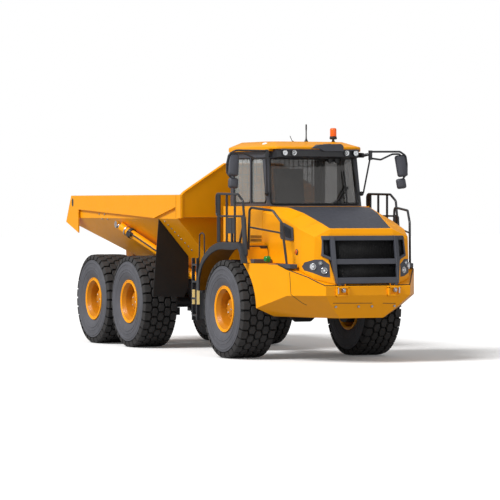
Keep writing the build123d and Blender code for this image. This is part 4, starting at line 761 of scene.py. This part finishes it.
def round_lamp(shape, point, normal, r):
    """A round lamp: bezel, reflector bowl, bulb and a clear cover."""
    place = facing(point, normal)
    d = LAMP_DEPTH
    bezel = ((1.02, -d), (1.12, -d), (1.14, 0.002), (1.1, 0.007), (0.98, 0.007), (0.94, 0.001))
    shape.turned([(r * a, y) for a, y in bezel], lamp_metal, place, closed=True)
    bowl = [(0.001, -d), (r * 0.35, -d * 0.95), (r * 0.7, -d * 0.62), (r * 0.96, 0.0)]
    shape.turned(bowl, lamp_metal, place)
    bulb = [(r * 0.36, -d), (r * 0.4, -d * 0.45), (r * 0.26, -d * 0.15), (0.001, -d * 0.05)]
    shape.turned(bulb, lamp_white, place, sides=14)
    shape.turned([(0.001, 0.008), (r * 0.5, 0.007), (r * 0.96, 0.003)], lens_glass, place)


def headlamps():
    shape = skin_shape("headlamps", charcoal)
    for hand in (1, -1):
        look = Vector((LOOK.x, -hand * LOOK.y, 0.0))
        for x, y, z, radius in HEADLAMPS:
            place, normal = seen("headlamps", (x, hand * y, z), look)
            outward = (normal.normalized() + Vector((0.8, hand * 0.25, 0))).normalized()
            round_lamp(shape, place + outward * 0.01, outward, radius)
    shape.show("headlamps_look", "bonnet", "lamp", ("headlamps",), bevel=0.003)


def bonnet_vents():
    shape = Shape()
    panel = (
        (1.07, 1.85), (1.07, 2.06), (1.2, 2.055), (1.5, 1.985), (1.52, 1.8), (1.46, 1.79), (1.1, 1.815),
    )
    opening = ((1.12, 1.87), (1.12, 2.02), (1.21, 2.015), (1.45, 1.958), (1.465, 1.83), (1.44, 1.825))
    s = BONNET_SIDE
    for hand in (1, -1):
        shape.side_prism(panel, (s, s + 0.016), charcoal, hand)
        shape.side_prism(opening, (s + 0.01, s + 0.019), black, hand)
        for i in range(9):
            x = 1.145 + FIN_PITCH * i
            z = (1.866 - (x - 1.13) * 0.1, 2.006 - max(0, x - 1.21) * 0.24)
            shape.side_box((x, x + 0.008), (s + 0.012, s + 0.027), z, charcoal, hand)
        place = facing(at(1.613, hand * s, 1.629), (0, hand, 0))
        dome = ((0.001, 0.022), (0.024, 0.019), (0.034, 0.008), (0.036, -0.004))
        ring = ((0.036, -0.004), (0.043, -0.004), (0.043, 0.006), (0.036, 0.008))
        shape.turned(dome, marker, place, sides=24)
        shape.turned(ring, charcoal, place, sides=24, closed=True)
    shape.show("bonnet_vents", "bonnet", "charcoal", bevel=0.004)


headlamps()
bonnet_vents()

# Roof: beacon, aerials, lamps
VISOR_X = 0.629  # front of the visor, from the front axle
LAMP_Z = 3.105
LAMPS_Y = (-0.594, -0.441, 0.441, 0.594)
FLUTE = 0.0016


def beacon():
    shape = Shape()
    spot = facing(at(0.15, 0.45, ROOF_Z), UP)
    for profile, mat, sides, flute in (
        (((0.001, 0.001), (0.03, 0.001), (0.03, 0.006), (0.021, 0.014), (0.018, 0.041), (0.001, 0.041)),
         black, 24, 0.0),
        (((0.001, 0.04), (0.047, 0.04), (0.055, 0.046), (0.056, 0.052), (0.056, 0.066), (0.054, 0.07),
          (0.054, 0.082), (0.049, 0.087), (0.001, 0.087)), black, 36, 0.0),
        (((0.0485, 0.086), (0.05, 0.092), (0.05, 0.188), (0.0475, 0.202), (0.04, 0.211),
          (0.02, 0.2145), (0.0005, 0.215)), amber, 40, FLUTE),
        (((0.001, 0.087), (0.016, 0.087), (0.016, 0.15), (0.001, 0.158)), reflector, 16, 0.0),
    ):
        shape.turned(profile, mat, spot, sides, flute=flute)
    aerial = (
        (0.001, 0.001), (0.03, 0.001), (0.031, 0.008), (0.024, 0.018), (0.012, 0.045), (0.0105, 0.06),
        (0.0095, 0.095), (0.0095, 0.15), (0.0105, 0.175), (0.012, 0.2), (0.012, 0.248), (0.009, 0.266),
        (0.001, 0.27),
    )
    shape.turned(aerial, black, facing(at(0.13, 0.0, ROOF_Z), UP), sides=20)
    shape.bar(((0.1, -0.21, 3.262), (0.1, -0.215, 3.28), (0.1, -0.26, 3.369)), 0.0055, black, 0.01)
    foot = ((0.001, -0.02), (0.016, -0.02), (0.016, 0.006), (0.008, 0.014), (0.001, 0.014))
    shape.turned(foot, black, facing(at(0.1, -0.21, ROOF_Z), UP), sides=16)
    shape.show("beacon_look", "front", "lamp", ("beacon",))


def roof_lamps():
    shape = Shape()
    for y in LAMPS_Y:
        place = facing(at(VISOR_X + 0.004, y, LAMP_Z), (1, 0, 0))
        for profile, mat, sides in (
            (((0.001, -0.05), (0.03, -0.05), (0.044, -0.02), (0.046, 0.004), (0.045, 0.01),
              (0.041, 0.01), (0.04, 0.004)), black, 36),
            (((0.0405, 0.004), (0.036, -0.006), (0.022, -0.02), (0.012, -0.024), (0.001, -0.024)),
             lamp_white, 32),
            (((0.012, -0.024), (0.013, -0.01), (0.009, -0.004), (0.001, -0.003)), lamp_metal, 16),
            (((0.0405, 0.005), (0.025, 0.0085), (0.001, 0.01)), lens_glass, 28),
        ):
            shape.turned(profile, mat, place, sides)
    shape.show("roof_lamps_look", "front", "lamp", ("roof_lamps",))


beacon()
roof_lamps()

# Mudguards: a smooth arch with a lip, its underside painted shade brown
GUARD_LINE = (
    (-0.945, 1.006), (-0.925, 1.22), (-0.8, 1.45), (-0.6, 1.6), (-0.36, 1.705), (-0.1, 1.757),
    (0.2, 1.757), (0.45, 1.757), (0.6, 1.735), (0.69, 1.64), (0.745, 1.5), (0.76, 1.455),
)
GUARD_IN = 0.91
GUARD_OUT = 1.36
GUARD_SKIN = 0.025
GUARD_SLOPE_X = 0.44  # where the arch turns down at its front


def guard_section(x):
    """Section of the arch as (depth below it, y); the lip is deepest over the wheel's top."""
    lip = 0.085 + 0.025 * min(1.0, max(0.0, (x + 0.9) / 0.6))
    lip -= 0.06 * min(1.0, max(0.0, (x - 0.45) / 0.25))
    return (
        (0.0, GUARD_IN), (0.0, GUARD_OUT - 0.09), (0.0, GUARD_OUT - 0.018), (0.005, GUARD_OUT - 0.006),
        (0.018, GUARD_OUT), (lip, GUARD_OUT), (lip, GUARD_OUT - 0.022), (GUARD_SKIN, GUARD_OUT - 0.024),
        (GUARD_SKIN, GUARD_IN),
    )


def mudguards():
    shape = Shape()
    line = curve([Vector((x, 0, z)) for x, z in GUARD_LINE])
    rings = []
    for before, p, after in zip([line[0]] + line, line, line[1:] + [line[-1]]):
        along = (after - before).normalized()
        inward = Vector((along.z, 0, -along.x))
        rings.append([at(*p) + inward * depth + Vector((0, y, 0)) for depth, y in guard_section(p.x)])
    shape.loft(rings, guard_plastic)
    # The faces under the skin get painted shade.
    shape.mats += [painted_shade_brown, paint]
    n = len(rings[0])
    skin = list(shape.bm.faces)[2:]  # after the two ends
    for i, p in enumerate(line[:-1]):
        skin[i * n + n - 2].material_index = 1
        if p.x > GUARD_SLOPE_X:
            skin[i * n].material_index = 2
    shape.mirror()
    shape.show("mudguards_look", "front", "charcoal", ("mudguards",))


mudguards()

# Cab
DOOR_BELT = BELT_Z + 0.012
SCREEN_FOOT = 0.458  # of the windscreen, from the front axle
SCREEN_LEAN = 0.2145
SEAL_R = 0.013
WINDOW_TOP = 3.03
WINDOW_FOOT = 2.35
CAB_WALL = 0.764


def screen_x(z):
    """Place of the windscreen at a height, from the front axle."""
    return SCREEN_FOOT - SCREEN_LEAN * (z - BELT_Z)


def door():
    """Yellow below the belt, charcoal round the window."""
    shape = skin_shape("door", paint)
    shape.cut_level(DOOR_BELT)
    shape.repaint(charcoal, lambda middle: middle.z > DOOR_BELT)
    shape.show("door_skin", "door", "yellow", ("door",), bevel=0.008)


def intake_hood():
    """The hood on the roof's front and the strip above the windscreen."""
    shape = Shape()
    hood = (
        (-0.17, 3.172), (-0.13, 3.196), (-0.01, 3.232), (0.33, 3.244), (0.372, 3.215), (0.376, 3.128),
        (0.04, 3.128), (-0.03, 3.165),
    )
    shape.loft([[at(x, y, z) for y, z in hood] for x in (0.44, 0.664)], charcoal)
    shape.side_box((0.618, 0.634), (-0.66, 0.66), (3.136, 3.16), charcoal)
    shape.show("intake_hood", "front", "charcoal", bevel=0.014, segments=3)


def wiper():
    """The wiper, its spindles and the two small lamps at the screen's top."""
    shape = Shape()
    lamp = (
        (0.001, -0.05), (0.03, -0.05), (0.04, -0.02), (0.042, 0.01), (0.036, 0.012), (0.034, 0.004),
        (0.001, 0.000),
    )
    lamp_z = 2.996
    for y in (0.3, 0.413):
        shape.turned(lamp, black, facing(at(screen_x(lamp_z) + 0.045, y, lamp_z), (1, 0, -0.15)), sides=24)
    blade = ((0.362, 0.524, 2.839), (0.413, 0.531, 2.605), (0.471, 0.529, 2.334))
    shape.bar(blade, 0.013, black, 0.02)
    shape.bar(((0.467, 0.341, 2.349), (0.417, 0.519, 2.585)), 0.0105, black)
    shape.bar(((0.461, 0.412, 2.379), (0.421, 0.559, 2.565)), 0.0105, black)
    shape.side_box((0.405, 0.425), (0.512, 0.572), (2.56, 2.6), black)
    spindle = ((0.001, -0.03), (0.03, -0.03), (0.03, 0.004), (0.018, 0.016), (0.001, 0.018))
    for y in (0.341, 0.412):
        shape.turned(spindle, black, facing(at(screen_x(2.345) + 0.012, y, 2.352), (1, 0, 0.2)), sides=20)
    shape.show("wiper", "front", "charcoal")


def cab_fittings():
    """Small lamps at the pillars' feet, and a white dome and strip on the roof's corner that glow: a
    painted highlight.
    """
    shape = Shape()
    lamp = ((0.001, 0.024), (0.022, 0.022), (0.032, 0.012), (0.036, -0.01))
    for hand in (1, -1):
        shape.turned(lamp, black, facing(at(0.425, hand * 0.8, 2.492), (1, hand * 0.35, 0)), sides=20)
    # Glowing white dome and strip on the roof's corner: a painted highlight.
    dome = ((0.001, 0.055), (0.03, 0.052), (0.048, 0.036), (0.052, 0.01), (0.052, -0.02))
    shape.turned(dome, lamp_white, facing(at(0.16, -0.7, 3.205), (0.3, -0.5, 1)))
    shape.side_box((0.3, 0.4), (-0.7, -0.62), (3.19, 3.222), lamp_white)
    shape.show("cab_fittings", "front", "lamp")


def window_seals():
    shape = Shape()
    for hand, rear, foot, top in ((-1, -0.836, -0.236, -0.236), (-1, -0.192, 0.34, 0.215),
                                  (1, -0.12, 0.34, 0.215)):
        low, high = WINDOW_FOOT, WINDOW_TOP
        loop = [at(x, hand * CAB_WALL, z) for x, z in ((rear, low), (foot, low), (top, high), (rear, high))]
        start = (loop[0] + loop[1]) / 2
        shape.tube([start] + loop[1:] + [loop[0], start], SEAL_R, black, 0.07)
    edge = on_side(
        1, (0.452, 0.0, 2.33), (0.452, -0.742, 2.33), (0.296, -0.7, 3.05), (0.296, 0.7, 3.05),
        (0.452, 0.742, 2.33), (0.452, 0.0, 2.33),
    )
    found = []
    for spot in edge:
        place, normal = hit("windscreen", spot + Vector((1.0, 0, 0)), (-1, 0, 0))
        found.append(place or spot)
    shape.tube(found, 0.016, black, 0.05)
    shape.show("window_seals", "front", "rubber")


def rear_guard():
    """A grid of bars behind the cab's rear window."""
    shape = Shape()
    x, wall = -0.98, -0.945
    low, high, half = 2.42, 3.04, 0.64
    for i in range(17):
        y = -half + 2 * half * i / 16
        radius, sides = (0.007, 6) if 0 < i < 16 else (0.011, 8)
        shape.bar(((x, y, low), (x, y, high)), radius, guard_grey, sides=sides)
    for i in range(6):
        z = low + (high - low) * i / 5
        radius, sides, back = (0.007, 6, 0.01) if 0 < i < 5 else (0.011, 8, 0.0)
        shape.bar(((x - back, -half, z), (x - back, half, z)), radius, guard_grey, sides=sides)
    for y in (-half, half):
        for z in (low + 0.06, high - 0.06):
            shape.bar(((x, y, z), (wall, y, z)), 0.012, guard_grey)
    shape.show("rear_guard", "front", "steel")


door()
intake_hood()
wiper()
cab_fittings()
window_seals()
rear_guard()

# Mirrors: shells that lean, glass behind, and doubled arms
HEAD_X = 0.565
HEAD_Y = 1.413
HEAD_DEEP = 0.062
HEAD_LEAN = radians(-9)
HEAD_TURN = radians(6)
ROUND_STEPS = 4


def mirror_head(shape, z, width, height, hand):
    lean = Matrix.Rotation(HEAD_LEAN, 4, "Y") @ Matrix.Rotation(hand * HEAD_TURN, 4, "X")
    place = Matrix.Translation(at(HEAD_X, hand * HEAD_Y, z)) @ lean
    w, h = width / 2, height / 2
    r = min(w, h) * 0.42
    corners = []
    for quarter, (way, rise) in enumerate(((1, 1), (-1, 1), (-1, -1), (1, -1))):
        for i in range(ROUND_STEPS + 1):
            a = pi * (quarter + i / ROUND_STEPS) / 2
            corners.append((way * (w - r) + r * cos(a), rise * (h - r) + r * sin(a)))

    def ring(x, grow):
        return [(x, y * (1 + grow / w), z * (1 + grow / h)) for y, z in corners]

    back, front = -HEAD_DEEP / 2, HEAD_DEEP / 2
    levels = ((back, -0.004), (back, 0.0), (0.004, 0.0), (front - 0.012, -0.008), (front, -0.026))
    shape.loft([ring(x, grow) for x, grow in levels], charcoal, place, foot=False)
    shape.add(ring(back + 0.004, -0.004), [tuple(range(len(corners)))], chrome, place)


def mirrors():
    shape = Shape()
    for hand in (1, -1):
        mirror_head(shape, 2.919, 0.165, 0.335, hand)
        mirror_head(shape, 2.648, 0.15, 0.155, hand)
        for points, radius, bend, sides in (
            (((0.38, 0.78, 3.08), (0.48, 0.8, 3.075), (0.56, 0.87, 3.095)), (0.04, 0.022), 0.03, 12),
            (((0.578, 0.87, 3.13), (0.57, 1.38, 3.135), (0.56, 1.485, 3.075), (0.548, 1.512, 2.94),
              (0.545, 1.512, 2.8), (0.55, 1.44, 2.715)), 0.0155, 0.07, 10),
            (((0.578, 0.87, 3.03), (0.572, 1.05, 3.01), (0.566, 1.25, 3.095), (0.56, 1.4, 3.1),
              (0.55, HEAD_Y, 3.0)), 0.0145, 0.05, 10),
            (((0.56, 0.872, 3.02), (0.455, 0.812, 2.5)), 0.0135, 0.0, 10),
        ):
            shape.bar(points, radius, railing, bend, sides, hand)
        shape.side_box((0.548, 0.6), (0.85, 0.892), (3.005, 3.15), railing, hand)
        for z in (2.985, 2.86, 2.65):
            shape.side_box((0.515, 0.555), (1.4, 1.47), (z - 0.014, z + 0.014), railing, hand)
    shape.show("mirrors_look", "front", "charcoal", ("mirrors",), sharp=38.0)


mirrors()

# Access steps and what stands beside the bonnet
STILES_X = (-1.16, -0.985)
STRIP_Z = (0.785, 1.01)
STRIP_THICK = 0.008
GRAB_Y = 1.315
GRAB_LOOP = (
    (-1.054, 1.315), (-0.93, 1.53), (-0.916, 1.87), (-0.82, 1.89), (-0.738, 1.87), (-0.732, 1.52),
)
PAD_SLANT = 0.209
PAD_OUT = 1.258


def steps():
    """Steps with pale strips low on their stiles, and the grab loops above them."""
    shape = skin_shape("steps", railing)
    low, high = STRIP_Z
    shape.cut_level(low)
    shape.cut_level(high)

    def on_stile(middle):
        return low < middle.z < high and min(abs(middle.x - FRONT - x) for x in STILES_X) < 0.02

    # The stiles' pale strips glow as a painted highlight.
    shape.repaint(reflector, on_stile)
    shape.show("steps_skin", "front", "rails", ("steps",), bevel=0.003)
    shape = Shape()
    loop = [(x, GRAB_Y, z) for x, z in GRAB_LOOP]
    for hand in (1, -1):
        shape.bar(loop, 0.011, railing, 0.05, 8, hand)
    shape.show("step_grabs", "front", "rails")


def rail_posts():
    """Posts of the platform's rail, the shelf under it and the pads on the wings."""
    shape = Shape()
    rail_y = (1.268, 1.302)
    post = ((0.582, 2.15), (0.64, 2.175), (0.702, 2.139), (0.774, 1.6), (0.76, 1.56), (0.66, 1.56))
    for hand in (1, -1):
        shape.side_prism(post, rail_y, railing, hand)
        shape.side_box((0.206, 0.246), rail_y, (1.747, 2.13), railing, hand)
        shape.side_box((0.109, 0.677), (0.905, 1.02), (1.668, 1.712), railing, hand)
        shape.side_box((0.59, 0.652), (0.905, 1.262), (1.676, 1.712), railing, hand)
        for rear, front, foot, top in ((0.59, 0.83, 1.45, 1.512), (1.18, 1.7, 1.385, 1.452)):
            edge = [PAD_OUT - (x - 0.56) * PAD_SLANT for x in (rear, front)]
            plan = ((rear, 0.96), (rear, edge[0]), (front, edge[1]), (front, 0.9))
            shape.loft([[at(x, hand * y, z) for x, y in plan] for z in (foot, top)], charcoal)
    shape.show("rail_posts", "front", "rails", bevel=0.008)


def couplings():
    """Green couplings, glowing pale strips and bars of painted shade in the recess beside the bonnet."""
    shape = Shape()
    cap = ((0.001, 0.045), (0.03, 0.044), (0.04, 0.036), (0.042, 0.0), (0.05, -0.002), (0.05, -0.03))
    strip = ((0.634, 1.105, 1.628), (0.718, 1.07, 1.52), (0.718, 1.03, 1.52), (0.64, 1.05, 1.62))
    for hand in (1, -1):
        shape.turned(cap, green, facing(at(1.05, hand * 1.085, 1.518), (0.2, hand, 0.1)), sides=24)
        corners = on_side(hand, *strip)[::-hand]
        thick = (corners[1] - corners[0]).cross(corners[2] - corners[0]).normalized() * STRIP_THICK
        shape.loft([corners, [c + thick for c in corners]], reflector)
        # Brown bars of painted shade on the recess's wall.
        for z in (1.77, 1.822):
            shape.side_box((0.062, 0.455), (0.899, 0.9035), (z, z + 0.04), painted_shade_brown, hand)
    shape.show("couplings", "front", "lamp")


steps()
rail_posts()
couplings()

# Bumper: tow loops with pins, seams, a black line of painted shade along its top and bolts
LOOP_Y = 0.42
PLATE_BOLTS_Y = (-0.48, 0.11, -0.11, 0.48)
SEAMS = (
    ((1.775, -1.06, 1.335), (1.775, -1.04, 1.01), (1.8, -0.86, 0.88), (1.83, -0.8, 0.85)),
    ((2.2, -0.566, 0.89), (2.2, 0.169, 0.88)),
    ((2.2, 0.25, 0.878), (2.12, 0.53, 0.872)),
)
# A black tube along the bumper's top and under the grille: painted shade between bonnet, grille and bumper.
SHADE_LINE = (
    (1.42, 1.082, 1.44), (1.66, 1.035, 1.368), (1.95, 0.852, 1.266), (2.1, 0.757, 1.192),
    (2.196, 0.692, 1.146),
)


def bumper_front(y, z, lift=0.0):
    """A point on the bumper's front, found on the CAD surface."""
    return hit("bumper", (FRONT + 4.0, y, z), (-1, 0, 0))[0] + Vector((lift, 0, 0))


def tow_loops():
    shape = Shape()
    for hand in (1, -1):
        middle = hand * LOOP_Y
        for low, high, foot, top in (
            (-0.105, -0.07, 0.985, 1.125), (0.07, 0.105, 0.985, 1.125), (-0.105, 0.105, 1.1, 1.13),
            (-0.105, 0.105, 0.985, 1.01),
        ):
            x = bumper_front(middle + (low + high) / 2, (foot + top) / 2).x
            shape.box((x - 0.02, x + 0.03), (middle + low, middle + high), (foot, top), paint)
    shape.show("tow_loops", "front", "yellow", bevel=0.006)


def bumper_bolts():
    shape = Shape()
    for y in PLATE_BOLTS_Y:
        shape.bolt(bumper_front(y, 0.835, 0.002), (1, 0, 0), 0.02, zinc, 0.016)
    for hand in (1, -1):
        pin = bumper_front(hand * 0.5, 1.06, 0.02)
        shape.tube([pin - UP * 0.03, pin + UP * 0.055], 0.013, chrome, sides=14)
    for seam in SEAMS:
        spots = [Vector(a).lerp(Vector(b), i / 8) for a, b in zip(seam, seam[1:]) for i in range(8)]
        places = [seen("bumper", spot, LOOK)[0] for spot in spots]
        shape.tube([place for place in places if place], 0.0045, black, sides=6)
    # The painted shade line, along both sides and across the front.
    shape.tube(on_side(1, *SHADE_LINE) + on_side(-1, *SHADE_LINE)[::-1], 0.0075, black)
    shape.show("bumper_bolts", "front", "steel")


tow_loops()
bumper_bolts()

# Bin: bright rim, beam plates and bolts, a strip of painted shade under the beam; the tipping cylinders'
# fittings
RIM_X = -1.797  # of the front wall's rim, from the front axle
EDGE_X = (-1.802, -1.786)
RAIL_Z = (2.112, 2.478)
BOLT_LINE = (Vector((-2.6, -1.18, 2.06)), Vector((-2.42, -0.79, 1.601)))
BEAM_BOLTS = (
    (-5.349, -1.21, 2.167), (-5.105, -1.21, 2.161), (-5.23, -1.2, 2.09), (-5.01, -1.195, 2.084),
)
SLOT_X, SLOT_Z = -6.488, 2.363
TIP_FOOT = Vector((-2.57, 0.52, 1.08))
TIP_EYE = Vector((-4.5, 1.225, 2.0))
COLLAR = ((0.066, -0.03), (0.082, -0.03), (0.086, -0.02), (0.086, 0.02), (0.082, 0.03), (0.066, 0.03))
RING = ((0.066, -0.012), (0.08, -0.012), (0.08, 0.012), (0.066, 0.012))


def bin_rim():
    shape = Shape()
    for hand in (1, -1):
        rim = ((RIM_X, 1.238, 2.468), (RIM_X, 1.194, 2.516), (RIM_X, 0.49, 2.966))
        shape.bar(rim, 0.013, paint, sides=10, hand=hand)
        shape.side_box(EDGE_X, (1.215, 1.249), RAIL_Z, paint, hand)
    shape.bar(((RIM_X, -0.49, 2.966), (RIM_X, 0.49, 2.966)), 0.013, paint, sides=10)
    top, foot = BOLT_LINE
    for spot in [top.lerp(foot, i / 8) for i in range(9)] + list(BEAM_BOLTS):
        place, normal = seen("bin", spot, LOOK)
        if place:
            for way in (1, -1):
                other = Matrix.Diagonal((1, way, 1))
                shape.bolt(other @ place, other @ normal, 0.017, zinc, 0.012)
    slot = [(SLOT_X + 0.04 * cos(pi * i / 8), SLOT_Z + 0.07 * sin(pi * i / 8)) for i in range(16)]
    for hand in (1, -1):
        shape.side_prism(slot, (1.246, 1.253), chassis, hand)
        # Dark seam lines down the beam's edges.
        for x in (-1.994, -1.812):
            shape.bar(((x, 1.25, 2.116), (x, 1.25, 2.476)), 0.006, shade_and_seam_paint, sides=6, hand=hand)
    # A darker strip under the beam's front: painted shade.
    shape.side_box(EDGE_X, (-1.215, 1.215), (2.112, 2.13), shade_and_seam_paint)
    shape.show("bin_rim", "bin", "yellow", bevel=0.004)


def tip_fittings(side, hand):
    """Collar, valve block and pipe on a tipping cylinder's barrel."""
    shape = Shape()

    def on_barrel(t, out=0.0, up=0.0):
        p = TIP_FOOT.lerp(TIP_EYE, t)
        return at(p.x, hand * (p.y + out), p.z + up)

    along = on_barrel(1.0) - on_barrel(0.0)
    shape.turned(COLLAR, chassis, facing(on_barrel(0.84), along), closed=True)
    shape.turned(RING, steel, facing(on_barrel(0.885), along), closed=True)
    place = facing(on_barrel(0.8, 0.075, 0.03), along)
    shape.box((-0.045, 0.045), (-0.05, 0.05), (-0.03, 0.03), chassis, place)
    pipe = ((0.8, 0.095, 0.05), (0.76, 0.085, 0.045), (0.45, 0.085, 0.045), (0.42, 0.06, 0.03))
    shape.tube([on_barrel(*spot) for spot in pipe], 0.011, chassis, 0.03)
    shape.show("tip_fittings_" + side, "tip_barrel_" + side, "chassis")


bin_rim()
tip_fittings("left", 1)
tip_fittings("right", -1)

# CAD nodes with rounded edges: node, material, slot, bevel
for node, mat, slot, bevel in (
    ("front_frame", chassis, "chassis", 0.006),
    ("frame_brackets", chassis, "chassis", 0.004),
    ("engine_block", iron, "engine", 0.02),
    ("cooling_pack", iron, "engine", 0.01),
    ("bumper", paint, "yellow", 0.007),
    ("tow_lugs", steel, "steel", 0.004),
    ("cab_body", paint, "yellow", 0.018),
    ("cab_frame", charcoal, "charcoal", 0.012),
    ("cab_roof", paint, "yellow", 0.02),
    ("roof_visor", railing, "charcoal", 0.012),
    ("seat", cloth, "fabric", 0.03),
    ("cab_console", charcoal, "charcoal", 0.025),
    ("hitch", chassis, "chassis", 0.008),
    ("rear_frame", chassis, "chassis", 0.006),
    ("walking_beams", chassis, "chassis", 0.01),
    ("bin", paint, "yellow", 0.005),
    ("bin_flaps", flap_rubber, "rubber", 0.002),
    ("bonnet", paint, "yellow", 0.008),
    ("bonnet_panel", charcoal, "charcoal", 0.003),
):
    skin_shape(node, mat).show(node + "_skin", body_of(node), slot, (node,), bevel=bevel)

# CAD nodes shown as they are
for mat, nodes in (
    (chassis, ("front_axle", "middle_axle", "rear_axle", "steer_barrel_left", "steer_barrel_right")),
    (steel, ("front_struts", "drive_shaft")),
    (screen_glass, ("windscreen",)),
    (side_glass, ("cab_windows", "door_glass")),
    (railing, ("handrails",)),
    (paint, ("tip_barrel_left", "tip_barrel_right")),
    (chrome, ("tip_rod_left", "tip_rod_right", "steer_rod_left", "steer_rod_right")),
):
    for node in nodes:
        data = NODES[node].data
        data.materials.clear()
        data.materials.append(mat)

bpy.context.view_layer.update()
